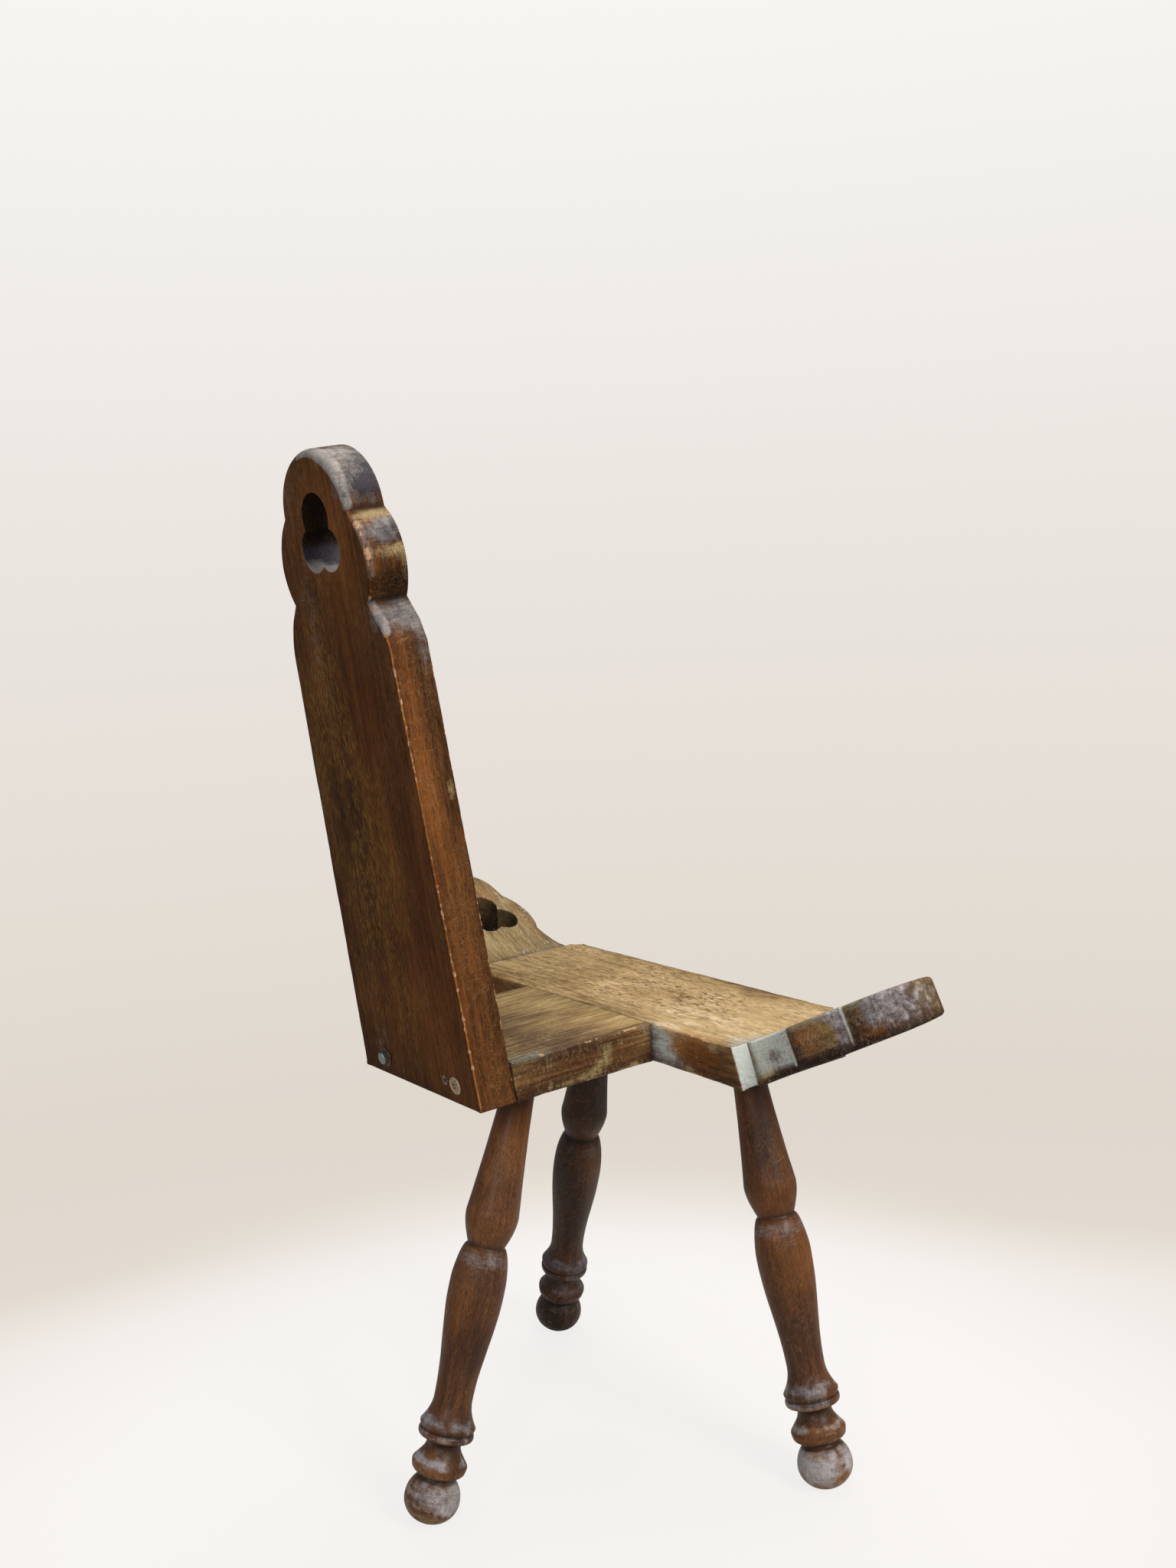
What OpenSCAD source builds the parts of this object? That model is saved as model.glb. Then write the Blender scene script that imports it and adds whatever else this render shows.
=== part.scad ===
// Three-legged plank chair with a T-shaped seat, two raised side wings and turned legs.
// Millimetres, +Z up, the front of the chair faces -Y, the sitter's left is +X.
// The origin lies on the floor, in the middle of the chair's plan.

/* [Seat] */
// Height of the seat's top above the floor
seat_h = 424; // [384:1:464]
// Thickness of the two seat boards
seat_t = 35.5; // [30:0.5:42]
// Depth of the cross board, front to back
cross_d = 142; // [125:1:165]
// Width of the cross board on its top face, between the two wings
cross_w = 389; // [340:1:430]
// Width of the rear board
rear_w = 186; // [165:1:210]
// Depth of the rear board on its top face, from the seam to the back plank
rear_d = 150; // [130:1:175]

/* [Back] */
// Thickness of the back plank
back_t = 35.5; // [30:0.5:42]
// Lean of the back plank away from upright, in degrees
back_lean = 7.4; // [3:0.1:14]
// Length of the back plank above the seat
back_l = 507; // [460:1:560]
// Width of the back plank at its shoulders
shoulder_w = 159; // [145:1:176]
// Distance of the shoulders below the tip, along the plank
shoulder_down = 147; // [137:1:177]
// Width at the lower notch of the outline
back_notch_w = 122; // [110:1:132]
// Distance of the lower notch below the tip, along the plank
back_notch_down = 122; // [112:1:129]
// Width over the lobes between the two notches
back_lobe_w = 140; // [134:1:148]
// Distance of the upper notch below the tip, along the plank
back_collar_down = 51.5; // [37:0.5:62]
// Width of the rounded head of the back plank
back_head_w = 102.6; // [92:0.2:110]

/* [Wings] */
// Thickness of the wings
wing_t = 35; // [30:0.5:40]
// Rise of each wing above level, in degrees
wing_tilt = 26.5; // [20:0.5:32]
// Length of each wing, from the fold to its tip
wing_l = 156; // [146:1:175]
// Width of each wing where it meets the cross board
wing_root_w = 106; // [98:1:116]
// Width at the inner notch of the wing
wing_notch_w = 86; // [80:1:92]
// Distance of the inner notch from the wing's tip
wing_notch_down = 118; // [114:1:124]
// Width over the lobes of the wing
wing_lobe_w = 98; // [94:1:104]
// Width at the outer notch of the wing
wing_collar_w = 76; // [72:1:80]
// Distance of the outer notch from the wing's tip
wing_collar_down = 54; // [48:1:60]
// Width of the wing's rounded head
wing_head_w = 74; // [68:1:76]
// Depth of the hollow curve between the root and the inner notch
wing_hollow = 2; // [1:0.5:4]

/* [Hand holes] */
// Distance of the lower lobes' centres below the tip, in the back
back_hole_down = 78.5; // [71:0.5:85]
// Diameter of the two lower lobes in the back
back_low_d = 36.6; // [32:0.2:40]
// Spacing of the two lower lobes in the back
back_low_gap = 24.4; // [20:0.2:27]
// Rise from the lower lobes to the upper lobe in the back
back_up_rise = 25; // [22:0.5:28]
// Diameter of the upper lobe in the back
back_up_d = 41.8; // [36:0.2:45]
// Distance of the inner lobes' centres from the tip, in the wings
wing_hole_down = 94.5; // [91:0.5:98]
// Diameter of the two inner lobes in the wings
wing_low_d = 33; // [29:0.5:35]
// Spacing of the two inner lobes in the wings
wing_low_gap = 21; // [18:0.5:23]
// Distance from the inner lobes to the outer lobe in the wings
wing_up_rise = 27.5; // [25:0.5:29]
// Diameter of the outer lobe in the wings
wing_up_d = 35; // [32:0.5:38]

/* [Leg stance] */
// Distance of the rear foot behind the seam
rear_foot_y = 197; // [170:1:220]
// Distance of the rear leg's socket behind the seam
rear_socket_y = 70.5; // [62:0.5:82]
// Distance of each front foot from the middle of the chair
front_foot_x = 198.5; // [170:0.5:225]
// Distance of each front foot ahead of the seam
front_foot_y = 92; // [80:1:112]
// Distance of each front leg's socket from the middle
front_socket_x = 104.4; // [92:0.2:125]
// Distance of each front leg's socket ahead of the seam
front_socket_y = 97; // [60:1:105]

/* [Leg turning] */
// Diameter of the ball foot
ball_d = 50; // [44:0.5:56]
// Height of the ball's lower half before its underside was cut flat
ball_low = 21; // [19.5:0.5:24]
// Height of the ball's centre above the floor
ball_stand = 18.2; // [16:0.2:19]
// Diameter of the hollows under and over the disc
cove_d = 31.2; // [28:0.2:35]
// Length of the neck between the ball and the disc
neck_l = 0.8; // [0.4:0.2:3]
// Diameter of the disc
disc_d = 50; // [44:0.5:56]
// Length of the disc's rounded underside
disc_low_l = 11.6; // [9:0.2:14]
// Length of the hollowed slope over the disc
disc_high_l = 16.2; // [13:0.2:19]
// Length of the hollow between the slope and the rings
cove_l = 6; // [4:0.5:9]
// Diameter of the two rings
ring_d = 50; // [44:0.5:56]
// Length of the lower ring along the leg
ring_l = 6.6; // [5:0.2:8]
// Depth of the groove between the rings
groove_cut = 2; // [1:0.1:3]
// Length of the upper ring's rounded lower edge
collar_l = 4.4; // [3:0.2:6]
// Diameter of the ankle above the rings
ankle_d = 34.6; // [30:0.2:38]
// Length of the flare from the ankle down to the upper ring
ankle_l = 22.8; // [18:0.2:28]
// Largest diameter of the long vase
vase_d = 50.4; // [44:0.2:56]
// Length from the ankle to the vase's widest place
vase_l = 97; // [85:1:105]
// Diameter in the sharp waist over the vase
waist_d = 33.6; // [30:0.2:38]
// Length from the vase's widest place to the waist
shoulder_l = 38; // [30:1:44]
// Largest diameter of the upper bulb
bulb_d = 48.2; // [44:0.2:54]
// Length from the waist to the bulb's widest place
bulb_l = 28; // [22:1:34]
// Diameter of the leg at the seat
leg_top_d = 27.6; // [27:0.2:32]

/* [Joints] */
// Diameter of the round tenons on the legs
tenon_d = 26; // [22:0.5:26.5]
// Length of the tenons inside the seat, along the leg
tenon_l = 25; // [20:0.5:26]
// Diameter of the dowels across the seam and behind the seat
dowel_d = 12; // [8:0.5:14]
// Length of the dowels across the seam
dowel_l = 64; // [50:1:72]
// Length of the dowels behind the seat
back_dowel_l = 51; // [44:1:54]
// Number of dowels across the seam
seam_dowel_count = 4; // [2:1:5]
// Distance between neighbouring dowels across the seam
seam_dowel_gap = 40; // [30:1:42]
// Distance between the two dowels behind the seat
back_dowel_gap = 44; // [34:1:50]
// Diameter of the wing dowels
wing_dowel_d = 10; // [8:0.5:12]
// Length of the wing dowels
wing_dowel_l = 48; // [40:1:52]
// Number of dowels in each wing
wing_dowel_count = 3; // [2:1:3]
// Distance between neighbouring wing dowels
wing_dowel_gap = 34; // [28:1:38]
// Lean of the joint between cross board and wing, in degrees
joint_lean = 20; // [12:0.5:24]
// Glue gap round every tenon and dowel
glue_gap = 0.1; // [0.05:0.05:0.2]
// Extra depth at the blind ends of the holes
blind_gap = 0.8; // [0.5:0.1:1.5]

/* [Fixings] */
// Distance of the coach screw from the middle of the back
bolt_x = 52; // [44:0.5:66]
// Height of all the fixings above the foot of the plank's rear face
fixing_rise = 16.5; // [14:0.5:19]
// Width across the flats of the coach screw's head
bolt_af = 10; // [9:0.5:14]
// Height of the coach screw's head
bolt_head_h = 4; // [3:0.1:5.5]
// Rounding of the head's outer corners, measured across the head
bolt_chamfer = 0.8; // [0.4:0.1:1.2]
// Diameter of the coach screw's shank
bolt_d = 6; // [5:0.5:7.5]
// Length of the coach screw under its head
bolt_l = 80; // [70:1:85]
// Outside diameter of the washer
washer_d = 18; // [17.5:0.5:24]
// Thickness of the washer
washer_t = 1.5; // [1:0.1:2.5]
// Distance of the short screw from the middle of the back
short_screw_x = 41.5; // [38:0.5:43]
// Head diameter of the short screw
short_head_d = 8.6; // [7:0.2:10]
// Shank diameter of the short screw
short_screw_d = 4; // [3:0.1:5]
// Length of the short screw
short_screw_l = 64; // [56:1:75]
// Depth of the short screw's head below the surface
short_sink = 1; // [0:0.1:2]
// Distance of the long screw from the middle of the back
long_screw_x = 59; // [57:0.5:68]
// Head diameter of the long screw
long_head_d = 10; // [8:0.2:11]
// Shank diameter of the long screw
long_screw_d = 5; // [4:0.1:6]
// Length of the long screw
long_screw_l = 76; // [60:1:80]
// Outside diameter of the long screw's cup washer
cup_d = 15.6; // [14:0.2:18]
// Height that the cup washer stands proud of the plank
cup_h = 1.4; // [1:0.1:2.5]

/* [Hidden] */
$fn = 64;

oak_dark = "#4a3020";
oak_back = "#45301f";
oak_seat = "#a5865a";
oak_wing = "#9a8560";
oak_rear = "#8f7550";
beech = "#c9a877";
zinc = "#9aa09a";
steel = "#8b8680";
brass = "#a68a6a";

// Larger than the chair: used for the boxes that trim a piece
big = 2 * (seat_h + back_l);
// Overlap that keeps a cut clean where two faces would coincide
nick = 1;
// How far one stretch of an outline runs inside the next
inset = 6;

// Turns a leg about its own line, so that the start of its round faces stays clear of the seat's edges
seam_turn = 90;
// Blunt tip of every screw
point_d = 1;
// How far the coach screw's hexagon and the cross recesses are turned, as they were last tightened
hexagon_turn = 12;
recess_turn = 30;

under_z = seat_h - seat_t;
// The outlines of the back and the wings, measured from the seat and from the fold
shoulder_at = back_l - shoulder_down;
back_notch_at = back_l - back_notch_down;
back_collar_at = back_l - back_collar_down;
back_hole_at = back_l - back_hole_down;
wing_notch_at = wing_l - wing_notch_down;
wing_collar_at = wing_l - wing_collar_down;
wing_hole_at = wing_l - wing_hole_down;
back_foot_at = (back_t * sin(back_lean) - seat_t) / cos(back_lean);
rear_reach = max(rear_d + back_l * sin(back_lean) + back_t * cos(back_lean), rear_foot_y + ball_d / 2);
front_reach = max(cross_d, front_foot_y + ball_d / 2);
// The pieces are placed from the seam; this brings the middle of the plan to the origin
seam_y = (front_reach - rear_reach) / 2;

// Places along a leg, measured up from the ball's centre
cove_r = cove_d / 2;
dip_r = ring_d / 2 - groove_cut;
neck_to = sqrt(pow(ball_d / 2, 2) - pow(cove_r, 2)) + neck_l;
ridge_at = neck_to + disc_low_l;
cove_at = ridge_at + disc_high_l;
rings_from = cove_at + cove_l;
groove_at = rings_from + ring_l;
collar_at = groove_at + collar_l;
ankle_at = collar_at + ankle_l;
vase_at = ankle_at + vase_l;
waist_at = vase_at + shoulder_l;
bulb_at = waist_at + bulb_l;
// How sharply a turned curve bends: 1 is even, less is fuller, more is hollower
disc_bend = 1.5;
cove_bend = 2;
ankle_bend = 2;
shoulder_bend = 0.55;
taper_bend = 1.47;
// Steps in the short and the long turned curves
few = 7;
many = 14;

rear_foot = [0, rear_foot_y, ball_stand];
rear_socket = [0, rear_socket_y, under_z];
left_foot = [front_foot_x, -front_foot_y, ball_stand];
left_socket = [front_socket_x, -front_socket_y, under_z];
right_foot = [-front_foot_x, -front_foot_y, ball_stand];
right_socket = [-front_socket_x, -front_socket_y, under_z];

// Centre of the circle through three points
function circle_centre(p, q, s) =
    let (a = q - p, b = s - q,
         m = a * (p + q) / 2, n = b * (q + s) / 2,
         det = a.x * b.y - a.y * b.x)
    [(m * b.y - n * a.y) / det, (a.x * n - b.x * m) / det];

// Disc whose rim passes through three points
module disc_through(p, q, s) {
    c = circle_centre(p, q, s);
    translate(c) circle(r = norm(p - c), $fn = 96);
}

// Board along +X, drawn by one side of it: a list of [distance along the board, half width].
// The corners run counter-clockwise, so that the board and its discs become one solid.
module mirrored_board(side) {
    polygon(concat([for (p = side) [p.x, -p.y]], [for (i = [len(side) - 1 : -1 : 0]) side[i]]));
}

// Lobed outline of a board that lies along +X: a plain body, two notches with a lobe between, a round head.
// Each place is [distance along the board, half width]; hollow dishes the edge from shoulder to notch.
module lobed_outline(foot, shoulder, notch, lobe, collar, tip, head_r, hollow = 0) {
    head_at = tip - head_r;
    run = notch - shoulder;
    steps = hollow > 0 ? 8 : 1;
    edge = [for (i = [0 : steps]) let (t = i / steps) shoulder + run * t - [0, 4 * hollow * t * (1 - t)]];
    into_lobe = notch + run / norm(run) * inset;
    mirrored_board(concat([foot], edge, [into_lobe, collar - [0, inset], [head_at, head_r - inset]]));
    translate([head_at, 0]) circle(r = head_r, $fn = 96);
    for (way = [0, 1])
        mirror([0, way])
            intersection() {
                disc_through(notch, lobe, collar);
                translate([foot.x, -nick]) square([tip - foot.x, big]);
            }
    // Straight cheeks from the outer notch to a head that starts beyond it
    if (head_at - collar.x > inset) {
        cheek_end = [head_at + inset / 2, head_r - nick];
        slope = (cheek_end - collar) / (cheek_end.x - collar.x);
        mirrored_board([collar - slope * inset, cheek_end]);
    }
}

// Three-lobed hand hole, open along the thickness
module trefoil(at, low_d, low_gap, rise, up_d) {
    for (way = [-1, 1])
        translate([at, way * low_gap / 2]) circle(d = low_d);
    translate([at + rise, 0]) circle(d = up_d);
}

// Points of turned curves from place a to place b, each as [radius, height along the leg].
// A bead swells from the radius at its ends to top_r and back, and an s_curve leaves both places level.
// A hollow_curve widens ever faster, a rise_curve ever slower; a fall_curve and a shed_curve narrow
// by the bend they are given.
function bead(from, l, base_r, top_r, steps) =
    [for (i = [0 : steps]) let (turn = 180 * i / steps)
        [base_r + (top_r - base_r) * sin(turn), from + l * (1 - cos(turn)) / 2]];
function s_curve(a, b, steps) =
    [for (i = [0 : steps]) let (t = i / steps)
        [a[0] + (b[0] - a[0]) * (1 - cos(180 * t)) / 2, a[1] + (b[1] - a[1]) * t]];
function hollow_curve(a, b, bend, steps) =
    [for (i = [0 : steps]) let (t = i / steps)
        [a[0] + (b[0] - a[0]) * pow(t, bend), a[1] + (b[1] - a[1]) * t]];
function rise_curve(a, b, steps) =
    [for (i = [0 : steps]) let (t = i / steps)
        [a[0] + (b[0] - a[0]) * sin(90 * t), a[1] + (b[1] - a[1]) * t]];
function fall_curve(a, b, bend, steps) =
    [for (i = [0 : steps]) let (t = i / steps)
        [b[0] + (a[0] - b[0]) * pow(1 - t, bend), a[1] + (b[1] - a[1]) * t]];
function shed_curve(a, b, bend, steps) =
    [for (i = [0 : steps]) let (t = i / steps)
        [b[0] + (a[0] - b[0]) * pow(cos(90 * t), bend), a[1] + (b[1] - a[1]) * t]];

// A curve without its first point, which the curve before it already has
function onward(points) = [for (i = [1 : len(points) - 1]) points[i]];

// Half outline of a turned leg of the given length, from the ball's underside to the seat
function leg_outline(length) =
    let (ball_r = ball_d / 2,
         disc_r = disc_d / 2,
         ring_r = ring_d / 2,
         neck_turn = acos(cove_r / ball_r))
    concat(
        [for (i = [0 : few]) let (a = 90 * (i / few - 1)) [ball_r * cos(a), ball_low * sin(a)]],
        onward([for (i = [0 : few]) let (a = neck_turn * i / few) [ball_r * cos(a), ball_r * sin(a)]]),
        rise_curve([cove_r, neck_to], [disc_r, ridge_at], few),
        onward(fall_curve([disc_r, ridge_at], [cove_r, cove_at], disc_bend, few)),
        onward(hollow_curve([cove_r, cove_at], [dip_r, rings_from], cove_bend, few)),
        onward(bead(rings_from, ring_l, dip_r, ring_r, few)),
        onward(rise_curve([dip_r, groove_at], [ring_r, collar_at], few)),
        onward(fall_curve([ring_r, collar_at], [ankle_d / 2, ankle_at], ankle_bend, few)),
        onward(s_curve([ankle_d / 2, ankle_at], [vase_d / 2, vase_at], many)),
        onward(shed_curve([vase_d / 2, vase_at], [waist_d / 2, waist_at], shoulder_bend, many)),
        onward(rise_curve([waist_d / 2, waist_at], [bulb_d / 2, bulb_at], few)),
        onward(fall_curve([bulb_d / 2, bulb_at], [leg_top_d / 2, length], taper_bend, many)),
        [[leg_top_d / 2, length + leg_top_d]]
    );

// Stands its children on the line from a foot to its socket, with the ball's centre at their origin
module along_leg(foot, socket) {
    run = socket - foot;
    translate(foot)
        rotate([0, acos(run.z / norm(run)), atan2(run.y, run.x)])
            rotate(seam_turn)
                children();
}

module leg(foot, socket) {
    length = norm(socket - foot);
    outline = leg_outline(length);
    intersection() {
        along_leg(foot, socket)
            rotate_extrude()
                polygon(concat(outline, [[0, length + leg_top_d]]));
        translate([-big / 2, -big / 2, 0]) cube([big, big, under_z]);
    }
    along_leg(foot, socket)
        translate([0, 0, length - tenon_d]) cylinder(d = tenon_d, h = tenon_d + tenon_l);
}

// Carries a piece that is built from the seam to its place over the origin
module from_seam() {
    translate([0, seam_y, 0]) children();
}

// Blind socket for a leg's tenon
module socket_hole(foot, socket) {
    along_leg(foot, socket)
        translate([0, 0, norm(socket - foot) - tenon_d])
            cylinder(d = tenon_d + 2 * glue_gap, h = tenon_d + tenon_l + blind_gap);
}

// A dowel centred on the origin along Z; room = 1 makes its hole
module dowel(d, l, room = 0) {
    cylinder(d = d + 2 * room * glue_gap, h = l + 2 * room * blind_gap, center = true);
}

module seam_dowel_row(room = 0) {
    for (i = [0 : seam_dowel_count - 1])
        translate([(i - (seam_dowel_count - 1) / 2) * seam_dowel_gap, 0, seat_h - seat_t / 2])
            rotate([90, 0, 0]) dowel(dowel_d, dowel_l, room);
}

// Places its children on the back plank: X across, Y through it to the rear, Z up from the seat's top
module on_back() {
    translate([0, rear_d, seat_h]) rotate([-back_lean, 0, 0]) children();
}

module back_dowel_pair(room = 0) {
    for (way = [-1, 1])
        on_back()
            translate([way * back_dowel_gap / 2, 0, -seat_t / 2])
                rotate([90, 0, 0]) dowel(dowel_d, back_dowel_l, room);
}

// Places its children on the left wing: X away from the fold, Y across, Z square to the wing's top
module on_left_wing() {
    translate([cross_w / 2, -cross_d / 2, seat_h]) rotate([0, -wing_tilt, 0]) children();
}

// Places its children on the joint face of the left wing, with Z square to the joint
module on_wing_joint() {
    translate([cross_w / 2, -cross_d / 2, seat_h]) rotate([0, 90 - joint_lean, 0]) children();
}

module wing_dowel_row(room = 0) {
    for (i = [0 : wing_dowel_count - 1])
        on_wing_joint()
            translate([wing_t / 2, (i - (wing_dowel_count - 1) / 2) * wing_dowel_gap, 0])
                dowel(wing_dowel_d, wing_dowel_l, room);
}

module wing_shape() {
    difference() {
        on_left_wing()
            translate([0, 0, -wing_t])
                linear_extrude(wing_t)
                    difference() {
                        lobed_outline([-wing_t, wing_root_w / 2], [0, wing_root_w / 2],
                                      [wing_notch_at, wing_notch_w / 2],
                                      [(wing_notch_at + wing_collar_at) / 2, wing_lobe_w / 2],
                                      [wing_collar_at, wing_collar_w / 2], wing_l, wing_head_w / 2,
                                      wing_hollow);
                        trefoil(wing_hole_at, wing_low_d, wing_low_gap, wing_up_rise, wing_up_d);
                    }
        on_wing_joint() translate([-big / 2, -big / 2, -big]) cube([big, big, big]);
        wing_dowel_row(1);
    }
}

// Screw with a countersunk head and a cross recess, its head's rim at the origin and its point along -Y
module wood_screw(head_d, shank_d, length) {
    // Slots of the cross recess, sized from the head as a screwdriver's tip is
    slot_l = head_d * 0.62;
    slot_w = head_d * 0.14;
    slot_deep = head_d * 0.2;
    difference() {
        rotate([90, 0, 0]) {
            cylinder(d1 = head_d, d2 = shank_d, h = (head_d - shank_d) / 2);
            cylinder(d = shank_d, h = length - shank_d);
            translate([0, 0, length - shank_d]) cylinder(d1 = shank_d, d2 = point_d, h = shank_d);
        }
        for (turn = [0, 90])
            rotate([0, recess_turn + turn, 0])
                cube([slot_l, 2 * slot_deep, slot_w], center = true);
    }
}

// Places its children at a fixing on the plank's rear face, with Y pointing out of the plank
module at_fixing(x) {
    on_back() translate([x, back_t, back_foot_at + fixing_rise]) children();
}

// Hole for a wood screw: a shank hole and a cone that the head fills
module screw_hole(x, sink, head_d, shank_d, length) {
    at_fixing(x)
        translate([0, -sink, 0])
            rotate([90, 0, 0]) {
                translate([0, 0, -sink - nick]) cylinder(d = head_d + 2 * glue_gap, h = sink + nick);
                cylinder(d1 = head_d + 2 * glue_gap, d2 = shank_d, h = (head_d - shank_d) / 2 + glue_gap);
                cylinder(d = shank_d + 2 * glue_gap, h = length + blind_gap);
            }
}

module bolt_hole() {
    at_fixing(bolt_x)
        rotate([90, 0, 0])
            translate([0, 0, -nick]) cylinder(d = bolt_d + 2 * glue_gap, h = nick + bolt_l + blind_gap);
}

module fixing_holes() {
    bolt_hole();
    screw_hole(-short_screw_x, short_sink, short_head_d, short_screw_d, short_screw_l);
    screw_hole(-long_screw_x, 0, long_head_d, long_screw_d, long_screw_l);
}

module back_plank() {
    color(oak_back) from_seam()
        difference() {
            on_back()
                rotate([0, -90, 90])
                    translate([0, 0, -back_t])
                        linear_extrude(back_t)
                            difference() {
                                lobed_outline([back_foot_at - back_t, rear_w / 2],
                                              [shoulder_at, shoulder_w / 2],
                                              [back_notch_at, back_notch_w / 2],
                                              [(back_notch_at + back_collar_at) / 2, back_lobe_w / 2],
                                              [back_collar_at, back_head_w / 2], back_l, back_head_w / 2);
                                trefoil(back_hole_at, back_low_d, back_low_gap, back_up_rise, back_up_d);
                            }
            translate([-big / 2, -big / 2, under_z - big]) cube(big);
            back_dowel_pair(1);
            fixing_holes();
        }
}

module seat_rear_board() {
    color(oak_rear) from_seam()
        difference() {
            rotate([90, 0, 90])
                translate([0, 0, -rear_w / 2])
                    linear_extrude(rear_w)
                        polygon([[0, under_z], [rear_d - seat_t * tan(back_lean), under_z],
                                 [rear_d, seat_h], [0, seat_h]]);
            socket_hole(rear_foot, rear_socket);
            seam_dowel_row(1);
            back_dowel_pair(1);
            fixing_holes();
        }
}

module seat_cross_board() {
    end = cross_w / 2 + seat_t * tan(joint_lean);
    color(oak_seat) from_seam()
        difference() {
            rotate([90, 0, 0])
                linear_extrude(cross_d)
                    polygon([[-end, under_z], [end, under_z], [cross_w / 2, seat_h], [-cross_w / 2, seat_h]]);
            socket_hole(left_foot, left_socket);
            socket_hole(right_foot, right_socket);
            seam_dowel_row(1);
            for (way = [0, 1])
                mirror([way, 0, 0]) wing_dowel_row(1);
        }
}

module left_wing() {
    color(oak_wing) from_seam() wing_shape();
}

module right_wing() {
    color(oak_wing) from_seam() mirror([1, 0, 0]) wing_shape();
}

module rear_leg() {
    color(oak_dark) from_seam() leg(rear_foot, rear_socket);
}

module left_front_leg() {
    color(oak_dark) from_seam() leg(left_foot, left_socket);
}

module right_front_leg() {
    color(oak_dark) from_seam() leg(right_foot, right_socket);
}

module seam_dowels() {
    color(beech) from_seam() seam_dowel_row();
}

module back_dowels() {
    color(beech) from_seam() back_dowel_pair();
}

module left_wing_dowels() {
    color(beech) from_seam() wing_dowel_row();
}

module right_wing_dowels() {
    color(beech) from_seam() mirror([1, 0, 0]) wing_dowel_row();
}

module coach_screw() {
    corner_r = bolt_af / 2 / cos(30);
    top_r = corner_r - bolt_chamfer;
    color(zinc) from_seam() at_fixing(bolt_x)
        translate([0, washer_t, 0])
            rotate([90, 0, 0]) {
                cylinder(d = bolt_d, h = bolt_l - bolt_d);
                translate([0, 0, bolt_l - bolt_d]) cylinder(d1 = bolt_d, d2 = point_d, h = bolt_d);
                translate([0, 0, -bolt_head_h])
                    intersection() {
                        rotate(hexagon_turn) cylinder(r = corner_r, h = bolt_head_h, $fn = 6);
                        cylinder(r1 = top_r, r2 = top_r + 2 * bolt_head_h, h = bolt_head_h);
                    }
            }
}

module coach_screw_washer() {
    color(zinc) from_seam() at_fixing(bolt_x)
        rotate([-90, 0, 0])
            difference() {
                cylinder(d = washer_d, h = washer_t);
                translate([0, 0, -nick]) cylinder(d = bolt_d + 2 * glue_gap, h = washer_t + 2 * nick);
            }
}

module short_screw() {
    color(steel) from_seam() at_fixing(-short_screw_x)
        translate([0, -short_sink, 0]) wood_screw(short_head_d, short_screw_d, short_screw_l);
}

module long_screw() {
    color(steel) from_seam() at_fixing(-long_screw_x)
        translate([0, cup_h, 0]) wood_screw(long_head_d, long_screw_d, long_screw_l);
}

module screw_cup() {
    cup_top_d = (cup_d + long_head_d) / 2;
    color(brass) from_seam() at_fixing(-long_screw_x)
        rotate([-90, 0, 0])
            difference() {
                cylinder(d1 = cup_d, d2 = cup_top_d, h = cup_h);
                translate([0, 0, cup_h - (long_head_d - long_screw_d) / 2])
                    cylinder(d1 = long_screw_d + 2 * glue_gap, d2 = long_head_d + 2 * glue_gap,
                             h = (long_head_d - long_screw_d) / 2);
                translate([0, 0, -nick]) cylinder(d = long_screw_d + 2 * glue_gap, h = cup_h + 2 * nick);
            }
}

back_plank();
seat_rear_board();
seat_cross_board();
left_wing();
right_wing();
rear_leg();
left_front_leg();
right_front_leg();
seam_dowels();
back_dowels();
left_wing_dowels();
right_wing_dowels();
coach_screw();
coach_screw_washer();
short_screw();
long_screw();
screw_cup();
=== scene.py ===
import math

import bpy
import numpy as np
from mathutils import Matrix, Vector, geometry, noise


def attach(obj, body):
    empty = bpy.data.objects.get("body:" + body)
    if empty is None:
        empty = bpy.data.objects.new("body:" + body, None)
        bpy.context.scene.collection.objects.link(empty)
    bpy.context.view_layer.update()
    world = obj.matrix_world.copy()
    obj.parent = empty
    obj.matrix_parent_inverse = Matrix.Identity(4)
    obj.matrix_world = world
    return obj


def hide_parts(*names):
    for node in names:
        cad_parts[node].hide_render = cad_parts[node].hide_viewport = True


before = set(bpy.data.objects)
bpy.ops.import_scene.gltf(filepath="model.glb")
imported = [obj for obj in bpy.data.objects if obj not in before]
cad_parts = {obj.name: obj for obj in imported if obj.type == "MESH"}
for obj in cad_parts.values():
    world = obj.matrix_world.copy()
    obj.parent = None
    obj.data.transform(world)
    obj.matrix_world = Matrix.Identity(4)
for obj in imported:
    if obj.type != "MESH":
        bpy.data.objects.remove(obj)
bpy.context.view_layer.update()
mm = 0.001

seat = {"height": 424, "thick": 35.5, "crossDeep": 142, "crossWide": 389, "rearWide": 186, "rearDeep": 150,
        "jointLean": 20, "seamY": -54.25}
back = {"thick": 35.5, "lean": 7.4, "tip": 507, "headR": 51.3}
wing = {"thick": 35, "tilt": 26.5, "tip": 156, "headR": 37}
# The fixings stand in one row at the foot of the back: its height, and each one's place along world X
fixing = {"up": 16.5, "head": 52, "short": -41.5, "long": -59}
# How an edge is worked: the flat skirt inside each arris, the rounding's steps, and how uneven it is left
edging = {"skirt": 3.0, "holeSkirt": 1.4, "steps": 6, "mitre": 0.62, "uneven": 0.3, "unevenMm": 26,
          "wanderMm": 38, "fineMm": 9}
# How a flat side is planed: the size of its hollows, the depth of the fine ones, and the flat round a screw
planing = {"broadMm": 48, "fineMm": 11, "fine": 0.12, "clear": 14}


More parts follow.
